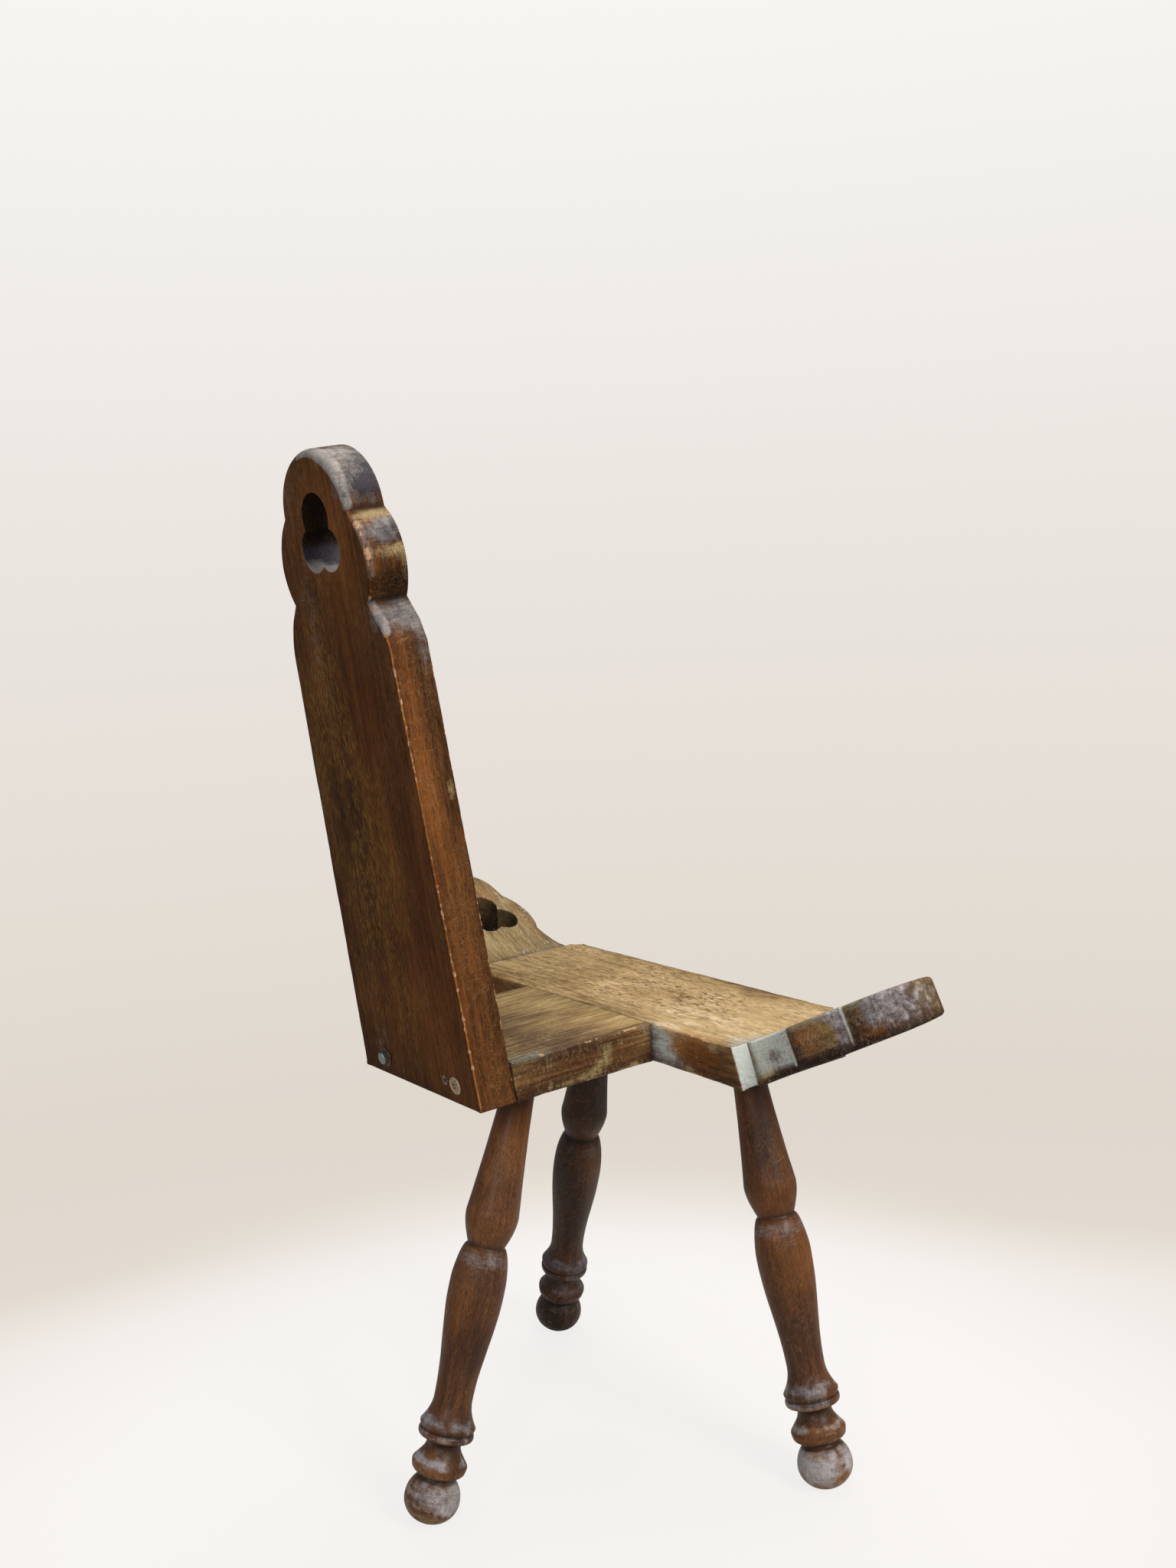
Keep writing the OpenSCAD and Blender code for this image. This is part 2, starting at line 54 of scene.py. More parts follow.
def toLinear(hexCode):
    parts = [int(hexCode[i:i + 2], 16) / 255 for i in (1, 3, 5)]
    return tuple(c / 12.92 if c <= 0.04045 else ((c + 0.055) / 1.055) ** 2.4 for c in parts) + (1.0,)


# Camera: the photograph's viewpoint, recovered from the corners of the seat, back and feet
def addCamera(view):
    data = bpy.data.cameras.new("camera")
    data.lens = view["lens"]
    data.sensor_width = view["sensor"]
    data.shift_x, data.shift_y = view["shift"]
    data.clip_start, data.clip_end = view["clip"]
    camera = bpy.data.objects.new("camera", data)
    right = Vector(view["right"]).normalized()
    backward = Vector(view["backward"])
    backward = (backward - right * backward.dot(right)).normalized()
    up = backward.cross(right)
    turn = Matrix((right, up, backward)).transposed().to_4x4()
    camera.matrix_world = Matrix.Translation(view["place"]) @ turn
    bpy.context.collection.objects.link(camera)
    bpy.context.scene.camera = camera


addCamera({"place": (-1.0761, 0.76405, 0.80875), "right": (-0.6244, -0.7797, -0.0476),
           "backward": (-0.7776, 0.6146, 0.1324), "lens": 34.52, "sensor": 36, "shift": (-0.0092, -0.0006),
           "clip": (0.05, 60)})
print("camera placed")


# Outlines, as closed loops of points in millimetres: X along the grain, Y across it
def spaced(a, b, step):
    count = max(1, math.ceil(math.dist(a, b) / step))
    return [(a[0] + (b[0] - a[0]) * i / count, a[1] + (b[1] - a[1]) * i / count) for i in range(count)]


def arc(centre, radius, start, end, step):
    count = max(2, math.ceil(radius * abs(end - start) / step))
    return [(centre[0] + radius * math.cos(start + (end - start) * i / count),
             centre[1] + radius * math.sin(start + (end - start) * i / count)) for i in range(count)]


def circleThrough(p, q, s):
    a, b = (q[0] - p[0], q[1] - p[1]), (s[0] - q[0], s[1] - q[1])
    m = (a[0] * (p[0] + q[0]) + a[1] * (p[1] + q[1])) / 2
    n = (b[0] * (q[0] + s[0]) + b[1] * (q[1] + s[1])) / 2
    det = a[0] * b[1] - a[1] * b[0]
    centre = ((m * b[1] - n * a[1]) / det, (a[0] * n - b[0] * m) / det)
    return centre, math.dist(centre, p)


def lobedLoop(shape, step=2.4, runs=8):
    foot, shoulder, notch, lobe, collar = (shape[k] for k in ("foot", "shoulder", "notch", "lobe", "collar"))
    headAt = shape["tip"] - shape["headR"]
    side = spaced(foot, shoulder, step)
    edge = []
    for i in range(runs + 1):
        t = i / runs
        edge.append((shoulder[0] + (notch[0] - shoulder[0]) * t,
                     shoulder[1] + (notch[1] - shoulder[1]) * t - 4 * shape.get("hollow", 0) * t * (1 - t)))
    for a, b in zip(edge, edge[1:]):
        side += spaced(a, b, step)
    centre, radius = circleThrough(notch, lobe, collar)
    start = math.atan2(notch[1] - centre[1], notch[0] - centre[0])
    end = math.atan2(collar[1] - centre[1], collar[0] - centre[0])
    side += arc(centre, radius, start, end, step)
    if headAt - collar[0] > step:
        side += spaced(collar, (headAt, shape["headR"]), step)
    side += arc((headAt, 0), shape["headR"], math.pi / 2, 0, step)
    side.append((shape["tip"], 0))
    low = [(x, -y) for x, y in side]
    high = side[-2::-1]
    return low + high + spaced(foot, (foot[0], -foot[1]), step)[1:]


def boxLoop(x0, x1, y0, y1, step=3.5):
    corners = [(x0, y0), (x1, y0), (x1, y1), (x0, y1)]
    loop = []
    for a, b in zip(corners, corners[1:] + corners[:1]):
        loop += spaced(a, b, step)
    return loop


def easedLoop(loop, corners, rounds=80):
    # Rounds the outer corners at the given (x, y, reach), by relaxing the points round each
    made = np.array(loop)
    for x, y, reach in corners:
        near = np.hypot(made[:, 0] - x, made[:, 1] - y) < reach
        for _ in range(rounds):
            relaxed = 0.5 * made + 0.25 * (np.roll(made, 1, axis=0) + np.roll(made, -1, axis=0))
            made[near] = relaxed[near]
    return [tuple(p) for p in made]


def trefoilLoop(hole, step=2.0):
    at, g, r, rise, up = (hole[k] for k in ("at", "half", "lowR", "rise", "upR"))
    cusp = math.asin(g / r)
    apart = math.hypot(rise, g)
    along = (r * r - up * up + apart * apart) / (2 * apart)
    out = math.sqrt(r * r - along * along)
    meet = (at + along * rise / apart + out * g / apart, g - along * g / apart + out * rise / apart)
    low = math.atan2(meet[1] - g, meet[0] - at)
    top = math.atan2(meet[1], meet[0] - at - rise)
    loop = arc((at, g), r, low, math.pi + cusp, step)
    loop += arc((at, -g), r, math.pi - cusp, 2 * math.pi - low, step)
    loop += arc((at + rise, 0), up, -top, top, step)
    return loop[::-1]


def roundedCorners(loop, radius, sharp=150, steps=3):
    # Replaces each sharp outer corner of a loop by a short arc, as a hand plane leaves it
    made = []
    count = len(loop)
    for i, p in enumerate(loop):
        a, b = Vector(loop[i - 1]) - Vector(p), Vector(loop[(i + 1) % count]) - Vector(p)
        turn = -a.x * b.y + a.y * b.x
        angle = a.angle(b) if a.length and b.length else math.pi
        if turn > 0 and angle < math.radians(sharp):
            cut = min(radius / math.tan(angle / 2), 0.95 * min(a.length, b.length))
            start, end = Vector(p) + a.normalized() * cut, Vector(p) + b.normalized() * cut
            for k in range(steps + 1):
                t = k / steps
                made.append(tuple(start * (1 - t) ** 2 + Vector(p) * 2 * t * (1 - t) + end * t * t))
        else:
            made.append(p)
    return made


def inside(points, loop):
    x, y = points[:, 0], points[:, 1]
    hit = np.zeros(len(points), bool)
    for (x0, y0), (x1, y1) in zip(loop, np.roll(loop, -1, axis=0)):
        if y0 != y1:
            hit ^= ((y0 > y) != (y1 > y)) & (x < (x1 - x0) * (y - y0) / (y1 - y0) + x0)
    return hit


def nearness(points, loop):
    # Distance of each point from a loop
    best = np.full(len(points), 1e9)
    for a, b in zip(loop, np.roll(loop, -1, axis=0)):
        d = b - a
        t = np.clip(((points - a) @ d) / max(d @ d, 1e-9), 0, 1)
        best = np.minimum(best, np.hypot(*(points - a - t[:, None] * d).T))
    return best


def wave(values, size, seed):
    # Smooth noise from -1 to 1 along a list of distances or points
    shift = (seed * 7.31, seed * 1.7)

    def spot(v):
        if np.isscalar(v):
            return Vector((v / size, *shift))
        return Vector(v) / size + Vector((shift[0], 0, shift[1]))

    return np.array([noise.noise(spot(v)) for v in values])


def belowLevel(value, level, soft):
    # 1 under a level and 0 over it, with a soft border
    return 1 / (1 + np.exp((value - level) / soft))


def bell(value, level, reach):
    return np.exp(-((value - level) / reach) ** 2)


def blobs(points, patches):
    total = np.zeros(len(points))
    for x, y, z, rx, ry, rz, amount in patches:
        d = ((points[:, 0] - x) / rx) ** 2 + ((points[:, 1] - y) / ry) ** 2 + ((points[:, 2] - z) / rz) ** 2
        total += amount * np.exp(-d)
    return total


def safeInset(loop, inward, wish, rounds=60, least=0.15):
    # Shrinks an inset where it would make its own corners cross
    inset = wish.copy()
    run = np.roll(loop, -1, axis=0) - loop
    for _ in range(rounds):
        ring = loop + inward * inset[:, None]
        moved = np.roll(ring, -1, axis=0) - ring
        bad = (moved * run).sum(1) < least * (run * run).sum(1)
        if not bad.any():
            break
        bad = bad | np.roll(bad, 1)
        inset[bad] *= 0.8
        inset = np.minimum(inset, 0.5 * inset + 0.25 * (np.roll(inset, 1) + np.roll(inset, -1)) + 0.04)
    return inset


def ringRows(loop, board, seed, hole):
    # Rows of points down the edge of a board, from just inside its top to just inside its underside
    count = len(loop)
    before, after = np.roll(loop, 1, axis=0), np.roll(loop, -1, axis=0)

    def unit(v):
        return v / np.maximum(np.hypot(v[:, 0], v[:, 1]), 1e-9)[:, None]

    def within(x0, x1, y0, y1):
        return (loop[:, 0] >= x0) & (loop[:, 0] <= x1) & (loop[:, 1] >= y0) & (loop[:, 1] <= y1)

    n0, n1 = unit(loop - before), unit(after - loop)
    n0, n1 = np.stack([-n0[:, 1], n0[:, 0]], 1), np.stack([-n1[:, 1], n1[:, 0]], 1)
    mid = unit(n0 + n1)
    inward = mid / np.maximum((mid * n1).sum(1), edging["mitre"])[:, None]
    along = np.concatenate([[0], np.cumsum(np.hypot(*(after - loop).T))])[:count]
    worn = board["holeWorn"] if hole else board["worn"]
    radius = np.outer(board["holeArris"] if hole else board["arris"], np.ones(count))
    chip, rub, bare = np.zeros((2, count)), np.full((2, count), float(worn)), np.zeros((2, count))
    for face in (0, 1):
        radius[face] *= 1 + edging["uneven"] * wave(along, edging["unevenMm"], seed + face)
        if not hole:
            for x, y, reach, extra, where in board["soft"]:
                far = np.hypot(loop[:, 0] - x, loop[:, 1] - y)
                radius[face] += (where == face) * extra * bell(far, 0, reach)
            for x0, x1, y0, y1, where, depth, size in board["chips"]:
                rough = wave(along, size, seed + 9) + 0.6 * wave(along, size / 3, seed + 11) - 0.02
                rough = np.clip(rough, 0, 1)
                rough = np.where(within(x0, x1, y0, y1) & (where == face), rough, 0)
                chip[face] = np.maximum(chip[face], np.clip(rough * 2.6, 0, 1))
                radius[face] += rough * depth
            for given, key in ((rub, "rubs"), (bare, "bands")):
                for x0, x1, y0, y1, where, amount in board.get(key, []):
                    given[face] += np.where(within(x0, x1, y0, y1) & (where == face), amount, 0)
        for x0, x1, y0, y1, r in board["tight"]:
            radius[face] = np.where(within(x0, x1, y0, y1), r, radius[face])
    wander = 0.5 + 0.5 * wave(along, edging["wanderMm"], seed + 3)
    wander = np.clip(board["wander"] * (wander + 0.3 * wave(along, edging["fineMm"], seed + 4)), 0, None)
    skirt = np.full(count, edging["holeSkirt" if hole else "skirt"])
    taper, drift = (board.get("taper", 0.0), board.get("drift", (0, 0))) if hole else (0.0, (0, 0))
    # Where a corner leaves no room, the rounding, the skirt and the wandering shrink together
    share = np.ones(count)
    for face in (0, 1):
        wish = radius[face] + skirt + wander + taper
        room = safeInset(loop, inward, wish)
        share = np.minimum(share, np.clip((room - wander - taper) / (radius[face] + skirt), 0.05, 1))
    radius, skirt = radius * share, skirt * share
    thick = board["thick"]
    places, wears, chips, bares = [], [], [], []

    def row(inset, z, wear, chipped, bared):
        flat = loop + inward * (inset + wander)[:, None]
        flat = flat - np.outer(np.broadcast_to(z, count) / thick, drift)
        places.append(np.column_stack([flat, np.broadcast_to(z, count)]))
        for kept, given in ((wears, wear), (chips, chipped), (bares, bared)):
            kept.append(np.broadcast_to(given, count))

    def bend(face, k):
        # A row of one arris; k counts from the flat side to the wall
        a = math.pi / 2 * k / edging["steps"]
        crown = math.sin(math.pi * k / edging["steps"])
        up = radius[face] * (1 - math.cos(a))
        row(taper * face + radius[face] * (1 - math.sin(a)), up - thick if face else -up, rub[face] * crown,
            chip[face] * crown, bare[face] * (k > 0))

    wallRows = board["wallRows"]
    row(radius[0] + skirt, 0.0, 0.0, 0.0, 0.0)
    for k in range(edging["steps"] + 1):
        bend(0, k)
    for k in range(1, wallRows + 1):
        t = k / (wallRows + 1)
        row(np.full(count, taper * t), -(radius[0] * (1 - t) + (thick - radius[1]) * t), 0.0, 0.0, 0.0)
    for k in range(edging["steps"], -1, -1):
        bend(1, k)
    row(taper + radius[1] + skirt, -thick, 0.0, 0.0, 0.0)
    return np.array(places), np.array(wears), np.array(chips), np.array(bares)


def recessRows(spot, thick):
    # Round blind hole in a board's rear face, for a screw's head
    x, y, r, depth = spot
    loop = np.array(arc((x, y), 1.0, 0, 2 * math.pi, 0.2))
    unit = loop - np.array((x, y))
    rows = [(r + 1.0, 0.0), (r + 0.25, 0.05), (r, 0.35), (r, depth), (r * 0.5, depth)]
    return np.array([np.column_stack([np.array((x, y)) + unit * ring, np.full(len(loop), up - thick)])
                     for ring, up in rows])


def faceFill(rings, spacing, seed):
    # Flat side of a board: triangles between its rings, with points in between to carry dents and tones
    outer = rings[0]
    lo, hi = outer.min(0), outer.max(0)
    picker = np.random.RandomState(seed)
    grid = []
    for j, y in enumerate(np.arange(lo[1], hi[1], spacing * 0.87)):
        for x in np.arange(lo[0] + (j % 2) * spacing / 2, hi[0], spacing):
            grid.append((x, y))
    grid = np.array(grid) + picker.uniform(-0.2, 0.2, (len(grid), 2)) * spacing
    keep = inside(grid, outer) & (nearness(grid, outer) > spacing * 0.6)
    for ring in rings[1:]:
        keep &= ~inside(grid, ring) & (nearness(grid, ring) > spacing * 0.6)
    grid = grid[keep]
    points = np.vstack(list(rings) + [grid])
    edges, at = [], 0
    for ring in rings:
        edges += [(at + i, at + (i + 1) % len(ring)) for i in range(len(ring))]
        at += len(ring)
    made = geometry.delaunay_2d_cdt([Vector(p) for p in points], edges, [], 0, 1e-7)
    places, faces, sources = made[0], made[2], made[3]
    places = np.array([tuple(p) for p in places])
    centres = np.array([places[list(f)].mean(0) for f in faces])
    keep = inside(centres, outer)
    for ring in rings[1:]:
        keep &= ~inside(centres, ring)
    # Points that the triangulation adds join the ones in between
    added = [i for i, source in enumerate(sources) if not source]
    known = [source[0] if source else len(points) + added.index(i) for i, source in enumerate(sources)]
    grid = np.vstack([grid, places[added]]) if added else grid
    return [tuple(known[i] for i in f) for f, k in zip(faces, keep) if k], grid


def ringFaces(at, rows, count):
    # Quads between rings of points that follow one another, from a given index
    faces = []
    for r in range(at, at + (rows - 1) * count, count):
        for i in range(count):
            j = (i + 1) % count
            faces.append((r + i, r + count + i, r + count + j, r + j))
    return faces


def addPiece(name, node, verts, faces, fields, placement, low=None, high=None):
    # Made in the chair's own frame; "grain" keeps each place in the piece's frame, with X along the grain
    local = np.array([tuple(v) for v in verts], dtype=float)
    made = local @ np.array(placement.to_3x3()).T + np.array(placement.translation)
    if low is not None:
        made[:, 2] = np.clip(made[:, 2], low * mm, high * mm)
    mesh = bpy.data.meshes.new(name)
    mesh.from_pydata(made.tolist(), [], faces)
    mesh.update()
    for key, values in fields.items():
        layer = mesh.attributes.new(key, "FLOAT", "POINT")
        layer.data.foreach_set("value", np.asarray(values, dtype=np.float32))
    grain = mesh.attributes.new("grain", "FLOAT_VECTOR", "POINT")
    grain.data.foreach_set("vector", local.astype(np.float32).ravel())
    mesh.polygons.foreach_set("use_smooth", [True] * len(mesh.polygons))
    piece = bpy.data.objects.new(name, mesh)
    bpy.context.collection.objects.link(piece)
    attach(piece, "root")
    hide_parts(node)
    return piece


def makeBoard(name, board, placement):
    loops = [np.array(p) for p in [roundedCorners(board["loop"], board["cornerR"])] + board["holes"]]
    thick, seed, recesses = board["thick"], board["seed"], board.get("recesses", [])
    verts, faces, starts = [], [], []
    marks = {"wear": [], "chip": [], "bare": []}
    at = 0

    def addRows(rows, *given):
        nonlocal at
        rowCount, count = rows.shape[:2]
        starts.append((at, rowCount, count))
        verts.append(rows.reshape(-1, 3))
        for kept, values in zip(marks.values(), given):
            kept.append(np.ravel(values))
        faces.extend(ringFaces(at, rowCount, count))
        at += rowCount * count

    for n, loop in enumerate(loops):
        addRows(*ringRows(loop, board, seed + 20 * n, n > 0))
    for spot in recesses:
        rows = recessRows(spot, thick)
        addRows(rows, *[np.zeros(rows.shape[:2])] * 3)
        faces.append(tuple(range(at - rows.shape[1], at))[::-1])
    for side in (0, 1):
        rings, index = [], []
        for n, (start, rowCount, count) in enumerate(starts):
            blind = n >= len(loops)
            if blind and side == 0:
                continue
            first = 0 if side == 0 or blind else (rowCount - 1) * count
            rings.append(verts[n][first:first + count, :2])
            index += list(range(start + first, start + first + count))
        tris, grid = faceFill(rings, board["spacing"], seed + side)
        index += list(range(at, at + len(grid)))
        verts.append(np.column_stack([grid, np.full(len(grid), -thick * side)]))
        for kept in marks.values():
            kept.append(np.zeros(len(grid)))
        at += len(grid)
        for f in tris:
            faces.append(tuple(index[i] for i in (f[::-1] if side else f)))
    verts = np.vstack(verts)
    # Broad hollows left by planing and by use, always into the wood
    flatness = np.clip(np.abs(verts[:, 2] + thick / 2) / (thick / 2), 0, 1) ** 6
    sink = board["sink"] * (0.5 + 0.5 * wave(verts, planing["broadMm"], seed + 5))
    sink += planing["fine"] * (1 + wave(verts, planing["fineMm"], seed + 6))
    sink = np.clip(sink, 0, None) * flatness
    for x, y, *_ in recesses:
        sink *= 1 - bell(np.hypot(verts[:, 0] - x, verts[:, 1] - y), 0, planing["clear"])
    verts[:, 2] -= np.sign(verts[:, 2] + thick / 2) * sink
    # A board may be planed thinner towards its high-Y edge, and left thicker along the other
    across = np.clip(verts[:, 1] / np.ptp(verts[:, 1]) + 0.5, 0, 1)
    verts[:, 2] *= 1 - (board.get("planed", 0) * across - board.get("left", 0) * (1 - across)) / thick
    upright = verts.copy()
    # Ends that the saw left at a slant
    ends = board["slant"]
    depth = -verts[:, 2] / thick
    low, high = verts[:, 0].min(), verts[:, 0].max()
    verts[:, 0] += depth * (ends["low"] * np.clip(1 - (verts[:, 0] - low) / ends["reach"], 0, 1)
                            + ends["high"] * np.clip(1 - (high - verts[:, 0]) / ends["reach"], 0, 1))
    fields = {key: blobs(verts, board["patches"].get(key, []))
              for key in ("tone", "warm", "grey", "straw", "grime", "fleck", "scuff")}
    for key, x0, x1, y0, y1, z0, z1, amount, soft in board.get("plates", []):
        within = np.minimum(upright - (x0, y0, z0), np.array((x1, y1, z1)) - upright)
        fields[key] += amount * np.clip(within / soft + 0.5, 0, 1).prod(1)
    fields["wear"], fields["chip"], bared = (np.concatenate(kept) for kept in marks.values())
    fields["grey"] += bared
    fields["tone"] += 0.3 * bared
    for start, rowCount, count in starts[1:len(loops)]:
        # The walls of a hand hole, up to their arrises, get painted shade and, in the back's hole, painted
        # light on the lower walls
        wall = slice(start + 4 * count, start + (rowCount - 4) * count)
        for key, given in zip(("grime", "grey", "tone"), board["holeShading"](verts[wall])):
            fields[key][wall] += given
    return addPiece(name, name.replace("_oak", ""), verts * mm, faces, fields, placement)


def place(origin, *turns):
    made = Matrix.Translation(Vector(origin) * mm)
    for axis, degrees in turns:
        made = made @ Matrix.Rotation(math.radians(degrees), 4, axis)
    return made


def framed(origin, x, y, z):
    turn = Matrix((Vector(x), Vector(y), Vector(z))).transposed().to_4x4()
    return Matrix.Translation(Vector(origin) * mm) @ turn


# Boards: tones are soft patches, each (x, y, z, reach along x, y, z, amount) in the board's own millimetres
def backPlank():
    lean = math.radians(back["lean"])
    footFront = -seat["thick"] / math.cos(lean)
    footRear = (back["thick"] * math.sin(lean) - seat["thick"]) / math.cos(lean)
    shape = {"foot": (footFront, 92.0), "shoulder": (360, 79.5), "notch": (385, 61), "lobe": (420.25, 70),
             "collar": (455.5, 51.3), "tip": back["tip"], "headR": back["headR"]}
    board = {
        "loop": easedLoop(lobedLoop(shape), [(360, 79.5, 8), (360, -79.5, 15)]),
        "thick": back["thick"], "seed": 3, "cornerR": 3.0, "spacing": 7,
        "holes": [trefoilLoop({"at": 428, "half": 11.8, "lowR": 17.2, "rise": 25, "upR": 20})],
        "recesses": [(footRear + fixing["up"], -fixing["short"], 4.35, 3.3),
                     (footRear + fixing["up"], -fixing["long"], 5.0, 2.6)],
        "arris": (1.6, 2.0), "holeArris": (1.3, 1.0), "worn": 0.3, "holeWorn": 0.2, "wallRows": 9,
        "wander": 0.2, "sink": 0.5,
        "tight": [(footFront - 1, footFront + 1, -200, 200, 1.2)],
        "soft": [(488, 36, 34, 5.0, 1), (506, -10, 44, 4.2, 1), (425, 70, 30, 2.6, 1),
            (372, 70, 14, 3.4, 1), (500, 0, 50, 0.6, 0)],
        "rubs": [(-40, 362, 70, 200, 1, 0.8), (-40, 362, 70, 200, 0, 0.1), (-40, 362, -200, -70, 1, 0.35),
            (376, 456, 45, 200, 1, 0.5)],
        "bands": [(457, 520, -16, 60, 1, 0.8), (404, 452, 56, 80, 1, 0.4), (360, 385, 58, 82, 1, 1.1)],
        "chips": [(-40, 200, 70, 200, 1, 1.3, 4), (200, 362, 70, 200, 1, 0.6, 4),
            (-40, 362, 70, 200, 0, 0.4, 10), (-40, 362, -200, -70, 1, 0.5, 10),
            (376, 450, 45, 200, 1, 0.9, 8)],
        "slant": {"reach": 10, "low": footRear - footFront, "high": 0},
        # Painted shade on the upper lobe's walls; painted light greying the lower lobes' walls, with a tone
        # lighter towards the bottom and the rear face
        "holeShading": lambda v: (0.95 * belowLevel(v[:, 0], 430, -2.5), 1.6 * belowLevel(v[:, 0], 428, 3),
                               np.clip((418 - v[:, 0]) / 9 - np.clip((v[:, 2] + 24) / 26, 0, 1), -0.9, 0.55)),
        "patches": {
            "tone": [(250, 60, -35, 160, 30, 14, -0.04), (60, -10, -35, 90, 50, 14, 0.1),
                (330, -60, -35, 90, 30, 14, 0.18), (140, -70, -35, 110, 24, 14, 0.1),
                (440, 10, -35, 60, 50, 14, 0.14), (230, 84, -24, 60, 12, 9, 0.26),
                (150, 86, -20, 80, 12, 14, 0.14), (472, 46, -14, 10, 14, 16, -0.35),
                (498, 22, -16, 9, 12, 12, 0.25), (492, 34, -4, 22, 20, 9, -0.15),
                # (448, 62) lightens the lobe's upward-facing top under the collar, and (398, 66) darkens its
                # downward-facing underside over the notch: painted light and painted shade
                (448, 62, -16, 5, 12, 16, 0.3), (437, 66, -14, 7, 14, 16, -0.12),
                (418, 70, -18, 9, 12, 16, 0.08), (398, 66, -16, 9, 14, 16, -0.45),
                (372, 70, -14, 14, 14, 20, 0.05)],
            "warm": [(120, 50, -35, 150, 40, 14, 0.6), (20, 20, -35, 90, 90, 14, 0.5),
                (200, 10, -35, 120, 26, 14, 0.35), (320, 20, -35, 120, 40, 14, 0.4),
                (280, 80, -27, 90, 14, 8, 0.8), (90, 88, -18, 130, 14, 16, 0.15),
                (440, 10, -35, 60, 60, 8, 0.6)],
            "grey": [(500, 24, -20, 13, 20, 14, 0.85), (477, 44, -16, 18, 12, 22, 0.95),
                (436, 66, -14, 9, 12, 16, 0.95), (372, 66, -16, 15, 14, 24, 1.0),
                (350, 80, -6, 30, 14, 8, 0.5), (330, -40, -35, 90, 9, 12, 0.24),
                (385, -30, -35, 40, 8, 12, 0.3), (90, -20, -35, 60, 7, 12, 0.16),
                (-8, -52, -36, 22, 18, 4, 0.36), (480, -40, -18, 50, 30, 20, 0.5),
                (380, -66, -16, 22, 14, 20, 0.6), (492, 34, -4, 22, 20, 9, 0.9),
                (446, 64, -10, 6, 10, 12, 0.5)],
            "straw": [(451, 55, -16, 5, 10, 24, 0.85), (422, 70, -16, 7, 10, 18, 0.6),
                (408, 68, -3, 26, 12, 5, 0.4), (488, 38, -3, 22, 14, 4, 0.5),
                (232, 82, -6, 10, 8, 5, 0.7)],
            "scuff": [(130, 86, -18, 140, 12, 16, 0.25), (385, -30, -35, 60, 40, 12, 0.5),
                (-20, -40, -35, 40, 40, 8, 0.4)],
            "fleck": [(250, -40, -35, 180, 40, 12, 1.3), (120, -10, -35, 120, 40, 12, 1.1),
                (430, 20, -35, 60, 40, 12, 0.4)],
            # (456, ±52), (386, ±60), (395, 64) and (466, 50) are painted shade in the notches and collars;
            # (-33, 0, -36) darkens the foot of the rear face
            "grime": [(456, 52, -18, 3, 7, 30, 1.0), (386, 60, -18, 4, 7, 30, 1.1),
                (395, 64, -14, 9, 8, 16, 0.4), (456, -52, -18, 3, 7, 30, 0.8),
                (386, -60, -18, 4, 7, 30, 0.8), (-33, 0, -36, 6, 120, 8, 0.3),
                (466, 50, -16, 5, 8, 14, 0.35)]}}
    x = (0, math.sin(lean), math.cos(lean))
    z = (0, -math.cos(lean), math.sin(lean))
    placement = framed((0, seat["rearDeep"] + seat["seamY"], seat["height"]), x, (-1, 0, 0), z)
    return makeBoard("back_plank_oak", board, placement)


